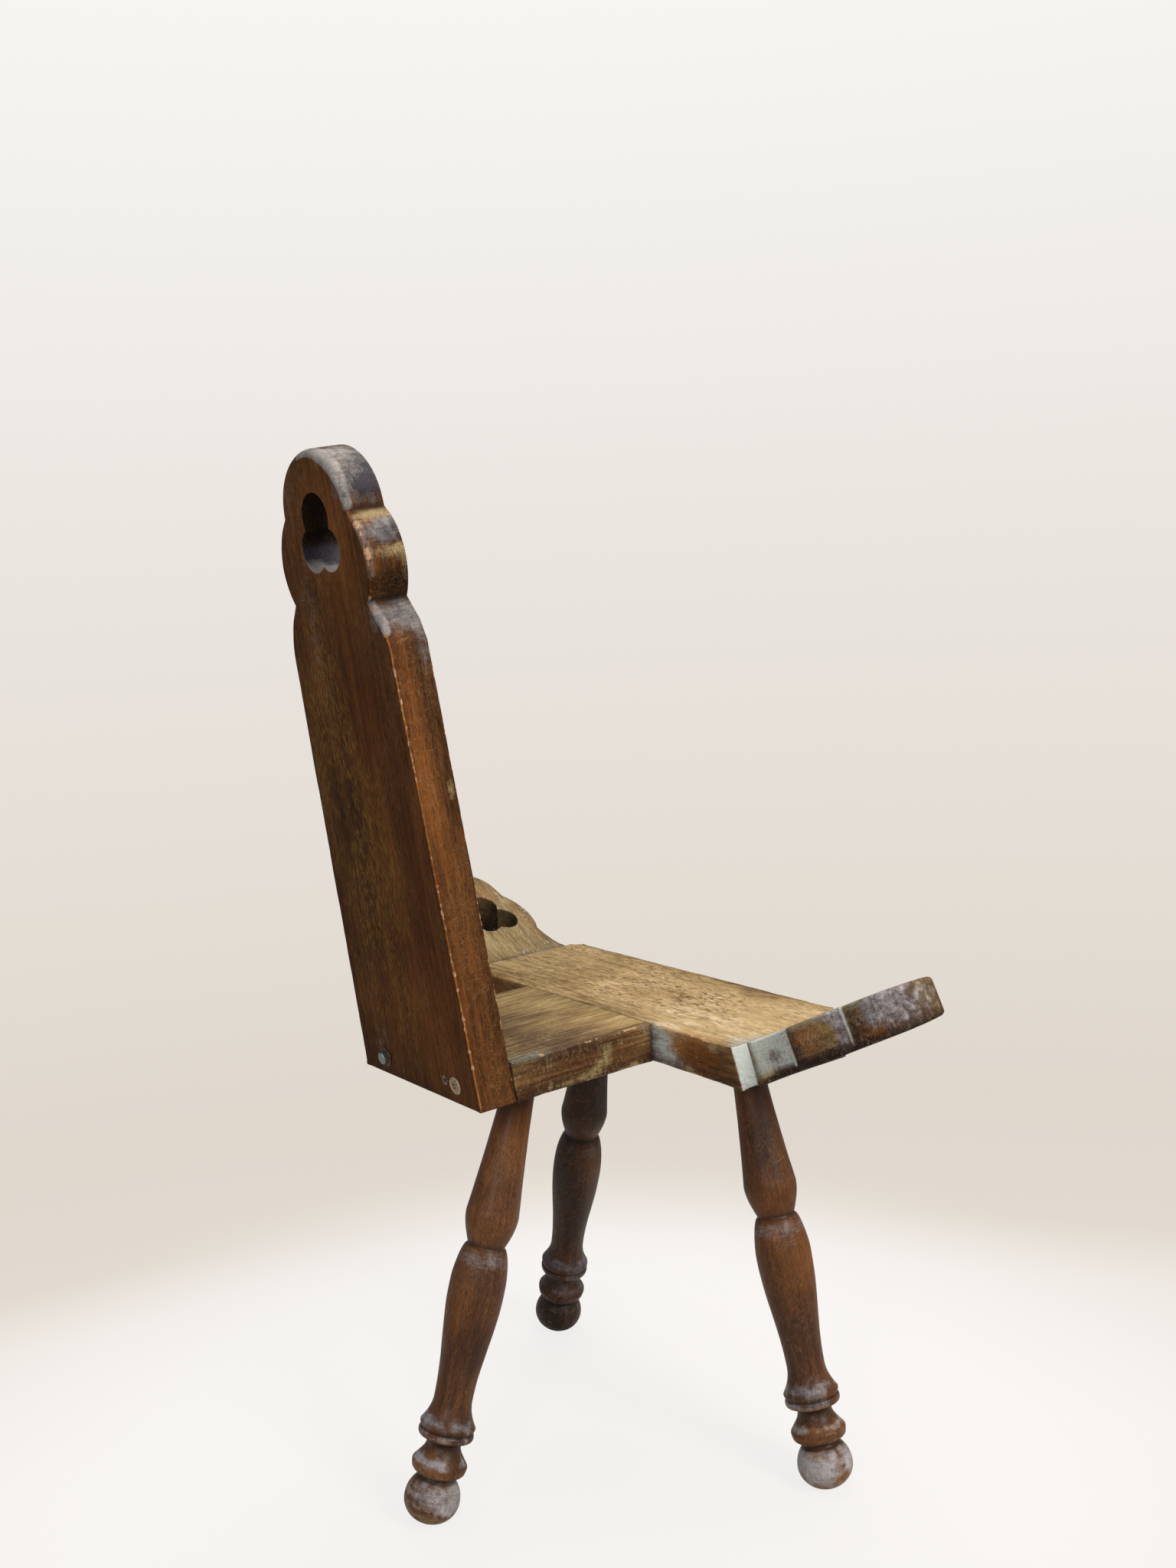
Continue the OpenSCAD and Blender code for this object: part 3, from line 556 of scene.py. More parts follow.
def crossBoard():
    wide, deep = seat["crossWide"] / 2, seat["crossDeep"] / 2
    out = -seat["thick"] * math.tan(math.radians(seat["jointLean"]))
    board = {
        "loop": easedLoop(boxLoop(-wide, wide, -deep, deep), [(wide, -deep, 10), (-wide, -deep, 14)]),
        "thick": seat["thick"], "seed": 31, "cornerR": 1.6, "spacing": 7, "holes": [], "arris": (2.6, 2.6),
        "worn": 0.35, "wallRows": 8, "wander": 0.25, "sink": 0.6,
        "soft": [(-wide, -deep, 40, 9.0, 1)],
        "rubs": [(-wide, wide, deep - 1, deep + 1, 0, 0.3), (-wide, wide, deep - 1, deep + 1, 1, 0.35)],
        "tight": [(-92, 92, deep - 1, deep + 1, 0.7), (-wide - 1, -wide + 1, -51, 51, 0.6),
            (wide - 1, wide + 1, -51, 51, 0.6)],
        "chips": [(-wide, wide, deep - 1, deep + 1, 0, 1.0, 11),
            (-wide, wide, deep - 1, deep + 1, 1, 1.2, 13),
            (-wide, wide, -deep - 1, -deep + 1, 0, 1.0, 14)],
        "slant": {"reach": 12, "low": out, "high": -out},
        "patches": {
            "tone": [(-60, 20, 0, 70, 34, 14, 0.1), (-150, 10, 0, 60, 60, 14, 0.26),
                (20, -64, 0, 200, 8, 14, -0.06), (-60, deep, -18, 300, 8, 18, -0.36),
                # (0, 0, -36) darkens the whole underside: painted shade
                (0, -deep, -18, 300, 8, 18, -0.6), (0, 0, -36, 300, 100, 10, -0.7),
                (150, deep - 12, 0, 60, 14, 14, -0.16), (150, 0, 0, 50, 60, 14, -0.14),
                # (-112, deep) and (150, deep) lighten parts of the rear edge that lie in shade: painted light
                (40, 50, 0, 50, 18, 10, -0.16), (-112, deep, -16, 20, 8, 24, 0.75),
                (150, deep, -10, 60, 4, 20, 0.25), (-160, deep, -14, 30, 5, 20, 0.05),
                (120, 30, 0, 40, 20, 10, -0.1)],
            "warm": [(-150, deep, -18, 50, 6, 22, 1.5), (60, 20, 0, 60, 50, 14, 0.1),
                (150, deep, -14, 60, 5, 20, 1.2), (0, -deep, -18, 200, 10, 20, 0.3)],
            "grey": [(-102, deep, -16, 18, 8, 22, 0.9), (-120, deep, -30, 26, 8, 7, 0.75),
                (-wide + 5, 52, 0, 12, 20, 6, 0.7), (-wide - 8, -62, -18, 16, 14, 24, 0.8),
                (wide + 8, 62, -18, 16, 14, 24, 0.9), (wide + 8, -62, -18, 16, 14, 24, 0.7),
                (188, 20, 0, 10, 60, 6, 0.35)],
            "straw": [(-140, deep, -31, 12, 8, 5, 0.7), (-172, deep, -5, 12, 8, 6, 0.6),
                (150, -20, 0, 50, 30, 6, 0.2)],
            "scuff": [(110, 0, 0, 80, 60, 8, 0.5), (-20, -30, 0, 90, 30, 8, 0.3)],
            "fleck": [(40, 10, 0, 120, 60, 12, 0.7), (-80, -10, 0, 80, 40, 12, 0.8),
                (100, -50, 0, 200, 20, 12, 0.5)],
            # The first and the last two are dark joint lines; (-93, deep) and (93, deep) are painted shade in
            # the inside corners at the rear board
            "grime": [(0, deep, -1, 110, 1.2, 0.55, 1.4), (-93, deep, -18, 1.6, 6, 30, 0.6),
                (93, deep, -18, 3, 6, 30, 0.5), (-wide, 0, 0, 3, 50, 6, 0.4), (wide, 0, 0, 3, 50, 6, 0.4)]},
        "plates": [("grey", -240, -wide + 0.5, 52, 90, -40, 5, 1.3, 0.6),
            ("tone", -240, -wide + 0.5, 52, 90, -40, 5, 0.62, 0.6)]}
    return makeBoard("seat_cross_board_oak", board, place((0, seat["seamY"] - deep, seat["height"])))


def rearBoard():
    deep, wide = seat["rearDeep"], seat["rearWide"] / 2
    board = {
        "loop": boxLoop(0, deep, -wide, wide), "thick": seat["thick"], "seed": 57, "cornerR": 1.2,
        "spacing": 7, "holes": [], "arris": (2.2, 2.2), "worn": 0.35, "wallRows": 8, "wander": 0.25,
        "sink": 0.5, "soft": [],
        "rubs": [(0, deep, wide - 1, wide + 1, 0, 0.3), (0, deep, wide - 1, wide + 1, 1, 0.3)],
        "tight": [(-1, 1, -200, 200, 0.7), (deep - 1, deep + 1, -200, 200, 0.4)],
        "chips": [(0, deep, wide - 1, wide + 1, 0, 1.0, 12), (0, deep, wide - 1, wide + 1, 1, 1.0, 12)],
        "slant": {"reach": 10, "low": 0, "high": -seat["thick"] * math.tan(math.radians(back["lean"]))},
        "patches": {
            "tone": [(10, 60, 0, 34, 50, 14, 0.2), (115, 20, 0, 50, 90, 14, -0.12),
                (40, 0, 0, 40, 60, 14, 0.1), (75, wide, -14, 90, 5, 16, -0.42),
                (75, wide, -34, 90, 6, 8, -0.25), (75, -wide, -18, 120, 8, 20, -0.4),
                # (75, 0, -36) darkens the whole underside: painted shade
                (75, 0, -36, 200, 120, 10, -0.7), (80, 60, 0, 50, 40, 10, -0.12)],
            "scuff": [(110, 40, 0, 60, 60, 8, 0.6), (60, wide, -16, 80, 6, 18, 0.5)],
            "warm": [(75, wide, -20, 90, 4, 20, 1.1), (20, 50, 0, 40, 40, 14, 0.2)],
            "grey": [(132, wide - 8, 0, 24, 14, 4, 0.6), (7, wide, -4, 4, 6, 8, 0.6),
                (125, wide - 2, -1, 60, 4, 2, 0.4)],
            "straw": [(50, wide, -16, 12, 6, 12, 0.55), (64, wide, -28, 14, 6, 7, 0.5),
                (96, wide, -31, 24, 6, 5, 0.55), (20, wide, -33, 30, 6, 3, 0.5),
                (112, wide, -10, 5, 6, 9, 0.4), (32, wide, -10, 5, 6, 6, 0.4),
                (96, wide - 28, 0, 22, 18, 4, 0.4)],
            "fleck": [(60, 0, 0, 100, 100, 12, 0.4)],
            # (0, 0, -1) is the dark seam line; the others are painted shade where the board meets the back
            # and in its corners at the back and the cross board
            "grime": [(0, 0, -1, 1.2, 110, 0.55, 1.4), (deep, 0, 0, 5, 110, 8, 0.6),
                (deep, wide, -18, 1.6, 6, 30, 0.5), (0, wide, -18, 1.6, 6, 30, 0.4)]}}
    placement = framed((0, seat["seamY"], seat["height"]), (0, 1, 0), (-1, 0, 0), (0, 0, 1))
    return makeBoard("seat_rear_board_oak", board, placement)


def wingBoard(name, side, seed, look):
    hole = look["hole"]
    tilt = math.radians(wing["tilt"] - seat["jointLean"])
    shape = {"foot": (0, 53), "shoulder": (0.5, 53), "notch": (38, 43), "lobe": (70, 49), "collar": (102, 38),
             "tip": wing["tip"], "headR": wing["headR"], "hollow": 2}
    board = {
        "loop": lobedLoop(shape, 2.0), "thick": wing["thick"], "seed": seed, "cornerR": 1.2, "spacing": 6,
        "holes": [[(x, y + hole["aside"]) for x, y in trefoilLoop(hole)]],
        "arris": (2.6, 3.4), "holeArris": (1.6, 1.6), "worn": 0.35, "holeWorn": 0.2, "wallRows": 8,
        "wander": 0.25, "sink": 0.6,
        "tight": [(-1, 0.6, -200, 200, 0.6)],
        "rubs": [(10, 200, -200, 200, 1, 0.2)],
        "soft": [(150, 0, 36, 3.0, 0), (150, 0, 36, 2.0, 1), (102, 38, 16, 3.0, 1), (60, 47, 40, 1.5, 1)],
        "chips": [],
        "slant": {"reach": 12, "low": -wing["thick"] * math.tan(tilt), "high": 0},
        # The wing's hand hole walls are painted dark all round: painted shade
        "holeShading": lambda v: (0.85, 0.0, -0.1), "taper": hole["taper"], "drift": hole["drift"],
        "planed": look["planed"], "left": look["left"], "patches": look["patches"], "plates": look["plates"]}
    origin = (side * seat["crossWide"] / 2, seat["seamY"] - seat["crossDeep"] / 2, seat["height"])
    turns = [("Y", -wing["tilt"])] if side > 0 else [("Z", 180), ("Y", -wing["tilt"])]
    return makeBoard(name, board, place(origin, *turns))


leftPatches = {
    "tone": [(60, 0, 0, 80, 60, 14, -0.02), (20, 20, 0, 30, 30, 14, 0.12),
        (80, 46, -18, 90, 10, 18, -0.3), (80, -46, -18, 90, 10, 18, -0.3),
        # (80, 0, -36) darkens the underside: painted shade
        (80, 0, -36, 120, 80, 10, -0.5), (150, 0, -18, 14, 50, 18, -0.2)],
    "warm": [(70, 46, -20, 30, 10, 16, 0.5), (110, -20, 0, 16, 14, 10, 0.6), (60, -40, 0, 30, 8, 10, 0.5)],
    "grey": [(5, -20, 0, 7, 40, 8, 0.35), (130, 20, -12, 30, 40, 14, 0.4), (100, 38, -16, 10, 8, 20, 0.6),
        (60, -46, 0, 50, 5, 6, 0.45)],
    "straw": [(100, -34, 0, 20, 10, 8, 0.5), (30, -30, 0, 18, 12, 8, 0.3)],
    "scuff": [(60, -20, 0, 60, 40, 8, 0.8)],
    "fleck": [(60, 0, 0, 120, 80, 12, 0.4)],
    # Painted shade in the notches and collars, and a dark line along the root's joint
    "grime": [(38, 43, -18, 5, 5, 30, 0.8), (38, -43, -18, 5, 5, 30, 0.5), (102, 38, -18, 4, 5, 30, 0.6),
        (102, -38, -18, 4, 5, 30, 0.5), (0, 0, 0, 3, 70, 6, 0.5)]}
rightPatches = {
    # (48, -47) and (112, -38) darken the near side just past the notch and collar, (80, 0, -36) the underside
    # and (80, -46, -34) the near side's low arris: painted shade
    "tone": [(60, 0, 0, 80, 60, 14, 0.05), (20, -20, 0, 30, 30, 14, 0.1), (48, -47, -18, 8, 10, 18, -0.3),
        (112, -38, -18, 9, 10, 18, -0.25), (80, 46, -18, 90, 10, 18, -0.4),
        (80, 0, -36, 120, 80, 10, -0.6), (80, -46, -34, 90, 12, 3, -0.3), (150, 0, -18, 14, 50, 18, -0.1),
        (20, -51, -18, 9, 8, 8, -0.9), (64, -46, -14, 14, 10, 8, 0.3), (9, -51, -8, 8, 8, 10, 0.5),
        (28, -51, -6, 8, 8, 6, 0.4), (33, -51, -16, 4, 8, 10, 0.5), (8, -51, -27, 6, 8, 6, 0.3),
        (24, -51, -30, 10, 8, 4, -0.5)],
    "warm": [(62, -46, -16, 20, 10, 12, 1.7), (116, -36, -18, 12, 10, 16, 0.9),
        (126, -34, -28, 22, 8, 4, 1.5)],
    "grey": [(97, -40, -14, 6, 9, 20, 1.0), (136, -32, -13, 21, 14, 15, 0.95),
        (88, -44, -5, 12, 8, 6, 0.6), (152, -14, -14, 10, 26, 18, 0.7), (126, -26, 0, 40, 22, 6, 0.45),
        (30, -40, 0, 24, 12, 6, 0.4), (18, -51, -30, 14, 6, 5, -0.5), (14, -51, -16, 10, 6, 8, -0.25)],
    "straw": [(140, -28, -2, 30, 14, 4, 0.75), (64, -47, -2, 34, 8, 4.5, 1.0),
        (114, -36, -2, 14, 8, 4.5, 0.9)],
    "fleck": [(60, 0, 0, 120, 80, 12, 0.4), (120, -34, -18, 40, 14, 20, 0.6)],
    "scuff": [(64, -46, -16, 24, 10, 14, 1.0), (112, -37, -14, 14, 10, 14, 0.7),
        (138, -32, -14, 26, 14, 15, 0.9), (18, -51, -16, 20, 8, 16, 0.7)],
    # Painted shade in the notches and collars and under the near side's low arris, and a dark line along the
    # root's joint
    "grime": [(43, -45, -18, 4, 5, 24, 0.6), (109, -37, -20, 4, 5, 26, 0.5),
        (80, -46, -34, 90, 8, 3, 0.5), (38, 43, -18, 5, 5, 30, 0.8), (102, 38, -18, 4, 5, 30, 0.6),
        (0, -53, -18, 2.5, 5, 30, 0.9), (0, 0, 0, 3, 70, 6, 0.5)]}
# Where the saw or a plane left facets: the root's bare face, and the pale ridges at its notch and collar,
# bare wood with a painted highlight along them
rightPlates = [("grey", 1, 36, -60, -38, -32, 3, 0.85, 3), ("tone", 1, 36, -60, -38, -32, 3, 0.55, 5),
               ("grey", 36, 38.8, -60, -36, -32, 2, 1.2, 1.2), ("tone", 36, 38.8, -60, -36, -32, 2, 1.0, 1.2),
               ("grey", 101, 103.3, -60, -30, -32, 2, 0.8, 1.2),
                ("tone", 101, 103.3, -60, -30, -32, 2, 0.6, 1.2)]
leftHole = {"at": 64, "half": 10.4, "lowR": 16.2, "rise": 26.5, "upR": 16.8, "aside": -3, "taper": 8.5,
            "drift": (-16, 11)}
rightHole = dict(leftHole, at=61.5, rise=27.5, aside=0, taper=2, drift=(0, 0))
leftWing = {"hole": leftHole, "planed": 0, "left": 0, "patches": leftPatches, "plates": []}
rightWing = {"hole": rightHole, "planed": 4.5, "left": 3.3, "patches": rightPatches, "plates": rightPlates}

boards = {
    "back": backPlank(), "cross": crossBoard(), "rear": rearBoard(),
    "leftWing": wingBoard("left_wing_oak", 1, 83, leftWing),
    "rightWing": wingBoard("right_wing_oak", -1, 97, rightWing)}
print("boards made")


# Turned legs: the lathe's outline, [radius, height above the ball's centre], as the CAD legs have it, with a
# fuller cap and a crisper ridge on the disc
turning = {"ball": 50, "ballLow": 21, "stand": 18.2, "cove": 31.2, "neckL": 0.8, "disc": 50, "discLow": 11.6,
           "discHigh": 16.2, "coveL": 6, "ring": 50, "ringL": 6.6, "groove": 2, "collarL": 4.4,
           "ankle": 34.6, "ankleL": 22.8, "vase": 50.4, "vaseL": 97, "waist": 33.6, "shoulderL": 38,
           "bulb": 48.2, "bulbL": 28, "top": 27.6, "tenonL": 7, "capFull": 0.9, "capL": 5.5, "lipIn": 0.1,
           "lipL": 0.8, "ridgeIn": 0.3, "slopeBend": 2.3, "slopeShare": 0.55, "coveBend": 2, "ankleBend": 2,
           "shoulderBend": 0.55, "taperBend": 1.47}


def legOutline(length, cut):
    ball, cove, disc, ring, ankle, vase, waist, bulb, top = (
        cut[k] / 2 for k in ("ball", "cove", "disc", "ring", "ankle", "vase", "waist", "bulb", "top"))
    dip = ring - cut["groove"]
    neck = math.sqrt(ball ** 2 - cove ** 2) + cut["neckL"]
    ridge = neck + cut["discLow"]
    coveAt = ridge + cut["discHigh"]
    ringsFrom = coveAt + cut["coveL"]
    grooveAt = ringsFrom + cut["ringL"]
    collar = grooveAt + cut["collarL"]
    ankleAt = collar + cut["ankleL"]
    vaseAt = ankleAt + cut["vaseL"]
    waistAt = vaseAt + cut["shoulderL"]
    bulbAt = waistAt + cut["bulbL"]
    points = []

    def curve(a, b, steps, shape):
        for i in range(1, steps + 1):
            t = i / steps
            points.append((a[0] + (b[0] - a[0]) * shape(t), a[1] + (b[1] - a[1]) * t))

    def closing(bend):
        return lambda t: 1 - (1 - t) ** bend

    def level(t):
        return (1 - math.cos(math.pi * t)) / 2

    def rising(t):
        return math.sin(math.pi / 2 * t)

    def slope(t):
        return cut["slopeShare"] * closing(cut["slopeBend"])(t) + (1 - cut["slopeShare"]) * level(t)

    ballLow, ballHigh, ringSteps = 14, 9, 10
    for i in range(ballLow + 1):
        a = math.pi / 2 * (i / ballLow - 1)
        points.append((ball * math.cos(a), cut["ballLow"] * math.sin(a)))
    end = math.acos(cove / ball)
    for i in range(1, ballHigh + 1):
        points.append((ball * math.cos(end * i / ballHigh), ball * math.sin(end * i / ballHigh)))
    curve((cove, neck - cut["neckL"]), (cove, neck), 1, level)
    curve((cove, neck), (cove + cut["capFull"] * (disc - cove), ridge - cut["capL"]), 9, rising)
    curve(points[-1], (disc - cut["lipIn"], ridge - cut["lipL"]), 5, rising)
    curve(points[-1], (disc - cut["ridgeIn"], ridge), 2, level)
    curve(points[-1], (cove, coveAt), 16, slope)
    curve((cove, coveAt), (dip, ringsFrom), 8, lambda t: t ** cut["coveBend"])
    for i in range(1, ringSteps + 1):
        a = math.pi * i / ringSteps
        points.append((dip + (ring - dip) * math.sin(a), ringsFrom + cut["ringL"] * (1 - math.cos(a)) / 2))
    curve((dip, grooveAt), (ring, collar), 8, rising)
    curve((ring, collar), (ankle, ankleAt), 16, closing(cut["ankleBend"]))
    curve((ankle, ankleAt), (vase, vaseAt), 34, level)
    curve((vase, vaseAt), (waist, waistAt), 24,
          lambda t: 1 - math.cos(math.pi / 2 * t) ** cut["shoulderBend"])
    curve((waist, waistAt), (bulb, bulbAt), 16, rising)
    curve((bulb, bulbAt), (top, length), 40, closing(cut["taperBend"]))
    points.append((top, length + cut["tenonL"]))
    return points, {"ridge": ridge, "ring": ringsFrom + cut["ringL"] / 2, "collar": collar}


# Where a leg is worn or painted with sheen, each (level, reach): disc, band and tan count from the disc's
# ridge, ring and collar from their own crests, and the rest from the ball's centre. The shoulder, disc, ring,
# collar, tan and tan-tone marks are painted highlights
legWearAndSheen = {"low": (76, 7), "ball": (18, 1.5), "sole": (-3, 4), "shoulder": (213, 9), "vase": (205, 30),
           "bulb": (262, 24), "disc": (4.5, 3.5), "band": (-3.5, 2.5), "tan": (3.5, 4), "tanSheenTone": (4, 4),
           "ring": (0, 4), "collar": (5, 5)}
# The sizes of a leg's dents and stains, and how deep a dent goes
legDent = {"mm": 16, "broadMm": 55, "smallMm": 5, "warmMm": 60, "deep": 0.14, "crestMm": 4, "full": 2.0}


def makeLeg(name, look, around=80):
    low = Vector((look["foot"][0], look["foot"][1] + seat["seamY"], turning["stand"]))
    seatUnder = seat["height"] - seat["thick"]
    high = Vector((look["socket"][0], look["socket"][1] + seat["seamY"], seatUnder))
    line = (high - low).normalized()
    side = Vector((math.cos(look["spin"]), math.sin(look["spin"]), 0))
    side = (side - line * side.dot(line)).normalized()
    placement = framed(low, line, side, line.cross(side))
    outline, marks = legOutline((high - low).length, turning)
    heights = np.array([p[1] for p in outline])
    radii = np.array([p[0] for p in outline])
    # How far each place stands out from its neighbours: crests show wear, grooves get painted shade
    span = legDent["crestMm"]
    beside = [np.interp([h - span, h + span], heights, radii).mean() for h in heights]
    crests = np.clip((radii - np.array(beside)) / legDent["full"], -1, 1)
    seed = look["seed"]
    shifts = {"dent": Vector((seed, 0, 0)), "broad": Vector((seed + 5, 0, 0)), "small": Vector((0, seed, 0)),
              "warm": Vector((0, 0, seed))}
    verts, fields = [], {key: [] for key in ("wear", "grime", "grey", "straw", "warm", "tone", "fleck")}
    for h, r, crest in zip(heights, radii, crests):
        lowPart, ball, sole = (belowLevel(h, *legWearAndSheen[k]) for k in ("low", "ball", "sole"))
        shoulder, vase, bulb = (bell(h, *legWearAndSheen[k]) for k in ("shoulder", "vase", "bulb"))
        disc, band, tan, tanSheenTone = (bell(h - marks["ridge"], *legWearAndSheen[k])
                                    for k in ("disc", "band", "tan", "tanSheenTone"))
        ring, collar = (bell(h - marks[k], *legWearAndSheen[k]) for k in ("ring", "collar"))
        # The upper sides of the disc, ring and flare get a grey painted sheen, a painted highlight; under the
        # ridge a brown band stays without it
        paintedSheen = look["disc"] * disc + 0.6 * ring + 0.75 * collar
        raised, sunk = max(0.0, crest), max(0.0, -crest)
        for i in range(around):
            a = 2 * math.pi * i / around
            point = Vector((h, r * math.cos(a), r * math.sin(a)))
            dent = noise.noise(point / legDent["mm"] + shifts["dent"])
            broad = noise.noise(point / legDent["broadMm"] + shifts["broad"])
            small = noise.noise(point / legDent["smallMm"] + shifts["small"])
            warm = noise.noise(point / legDent["warmMm"] + shifts["warm"])
            into = legDent["deep"] * (1 + broad) + 0.18 * dent + 0.05 * small + 0.3 * raised * max(0, dent)
            reach = max(r - max(0.0, into), 0)
            verts.append((h * mm, reach * math.cos(a) * mm, reach * math.sin(a) * mm))
            foot = look["feet"] * ball * (1 - 0.75 * sole)
            # The shoulder and sheen terms of the grey are painted highlights, and the tan terms of the straw
            # and tone a painted tan sheen
            for key, value in (
                    ("wear", raised * (0.9 + 0.7 * dent)), ("grime", 0.75 * sunk),
                    ("grey", lowPart * (foot + 0.4 * broad + 0.5 * dent + 0.4 * small) * (1 - band)
                     + 0.35 * shoulder + paintedSheen * (1 + 0.8 * dent)),
                    ("straw", ball * (0.15 + 0.9 * small - 0.8 * dent) + 0.4 * sole + look["tan"] * tan),
                    ("fleck", 0.4 + max(0.0, broad)),
                    ("warm", (0.35 + 1.1 * warm) * (1 - ball) + 0.5 * band)):
                fields[key].append(max(0.0, value))
            fields["tone"].append(look["tone"] + 0.3 * broad + 0.12 * vase + 0.1 * bulb + look["ball"] * ball
                                  + 0.1 * band + 1.2 * look["tan"] * tanSheenTone)
    faces = [f[::-1] for f in ringFaces(0, len(outline), around)]
    return addPiece(name + "_oak", name, verts, faces, fields, placement, 0, seatUnder + 4)


# Each leg's place, how grey its foot is worn, and how strong the painted sheen on its disc and the painted
# tan sheen are
legLooks = {
    "rear_leg": {"foot": (0, 197), "socket": (0, 70.5), "seed": 11, "spin": 0.3, "feet": 0.52, "disc": 0.7,
                 "tan": 0.05, "tone": 0.18, "ball": 0},
    "left_front_leg": {"foot": (198.5, -92), "socket": (104.4, -97), "seed": 23, "spin": 1.4, "feet": 0.1,
                       "disc": 0.3, "tan": 0.15, "tone": -0.25, "ball": 0},
    "right_front_leg": {"foot": (-198.5, -92), "socket": (-104.4, -97), "seed": 37, "spin": 2.2, "feet": 0.9,
                        "disc": 0.5, "tan": 0.35, "tone": 0.15, "ball": 0.35}}
legs = [makeLeg(name, look) for name, look in legLooks.items()]
print("legs made")


# Fixings at the foot of the back: the screws stay as the CAD has them; head, washer and cup get soft edges
def onBack(x, out):
    # A place on the plank's rear face, with Z pointing out of it
    lean = math.radians(back["lean"])
    foot = (back["thick"] * math.sin(lean) - seat["thick"]) / math.cos(lean)
    up = Vector((0, math.sin(lean), math.cos(lean)))
    through = Vector((0, math.cos(lean), -math.sin(lean)))
    origin = Vector((x, seat["rearDeep"] + seat["seamY"], seat["height"]))
    origin += through * (back["thick"] + out) + up * (foot + fixing["up"])
    return framed(origin, (-1, 0, 0), up, through)


def turned(name, look):
    # Closed shape round its own Z from (inset, height) steps; sides makes its rings many-cornered
    verts, around = [], look["around"]
    for inset, h in look["steps"]:
        r = look["radius"] - inset
        for i in range(around):
            a = 2 * math.pi * i / around
            reach = r
            if "sides" in look:
                half = math.pi / look["sides"]
                reach = min(r / math.cos(a % (2 * half) - half), r / math.cos(half) * look["blunt"])
            verts.append((reach * math.cos(a) * mm, reach * math.sin(a) * mm, h * mm))
    faces = [f[::-1] for f in ringFaces(0, len(look["steps"]), around)]
    faces += [tuple(range(around))[::-1], tuple(range(len(verts) - around, len(verts)))]
    placement = onBack(look["x"], look["out"]) @ Matrix.Rotation(math.radians(look["turn"]), 4, "Z")
    return addPiece(name, look["node"], verts, faces, {}, placement)


washerL = 1.5
fixingLooks = {
    "coach_screw_head": {"node": "coach_screw", "radius": 5, "x": fixing["head"], "out": washerL, "turn": 12,
                         "around": 96, "sides": 6, "blunt": 0.985,
                         "steps": [(0, 0), (0, 2.9), (0.2, 3.4), (0.6, 3.7), (1.2, 3.9), (2, 4.0)]},
    "washer_ring": {"node": "coach_screw_washer", "radius": 9, "x": fixing["head"], "out": 0, "turn": 0,
                    "around": 48, "steps": [(0.1, 0), (0, 0.5), (0.15, 1.1), (0.6, 1.4), (1.4, washerL),
                                            (4, washerL)]},
    "cup_ring": {"node": "screw_cup", "radius": 7.8, "x": fixing["long"], "out": 0, "turn": 0, "around": 48,
                 "steps": [(0.1, 0), (0, 0.25), (0.5, 0.8), (1.2, 1.2), (1.9, 1.4), (2.5, 1.25),
                           (2.75, 0.75)]}}
head, washer, cup = (turned(name, look) for name, look in fixingLooks.items())
print("fixings made")


# Materials
def addNode(tree, kind, inputs=None, ramp=None, **settings):
    made = tree.nodes.new(kind)
    for key, value in settings.items():
        setattr(made, key, value)
    for key, value in (inputs or {}).items():
        if isinstance(value, bpy.types.NodeSocket):
            tree.links.new(value, made.inputs[key])
        else:
            made.inputs[key].default_value = value
    if ramp:
        while len(made.color_ramp.elements) < len(ramp):
            made.color_ramp.elements.new(0.5)
        for stop, (at, colour) in zip(made.color_ramp.elements, ramp):
            stop.position = at
            stop.color = toLinear(colour) if isinstance(colour, str) else (colour, colour, colour, 1)
    return made


def newMaterial(name):
    made = bpy.data.materials.new(name)
    made.use_nodes = True
    made.node_tree.nodes.clear()
    tree = made.node_tree
    shader = addNode(tree, "ShaderNodeBsdfPrincipled")
    addNode(tree, "ShaderNodeOutputMaterial", {"Surface": shader.outputs[0]})
    return made, tree, shader


def sized(tree, coords, long, across, deep=None, shift=(0, 0, 0)):
    # Coordinates in which a pattern of size 1 is that many millimetres along and across the grain
    scale = [1 / (size * mm) for size in (long, across, across if deep is None else deep)]
    return addNode(tree, "ShaderNodeMapping", {
        "Vector": coords, "Scale": scale, "Location": shift}).outputs[0]


def bumped(tree, strength, depth, height, under=None):
    inputs = {"Strength": strength, "Distance": depth * mm, "Height": height}
    return addNode(tree, "ShaderNodeBump", dict(inputs, Normal=under) if under else inputs).outputs[0]


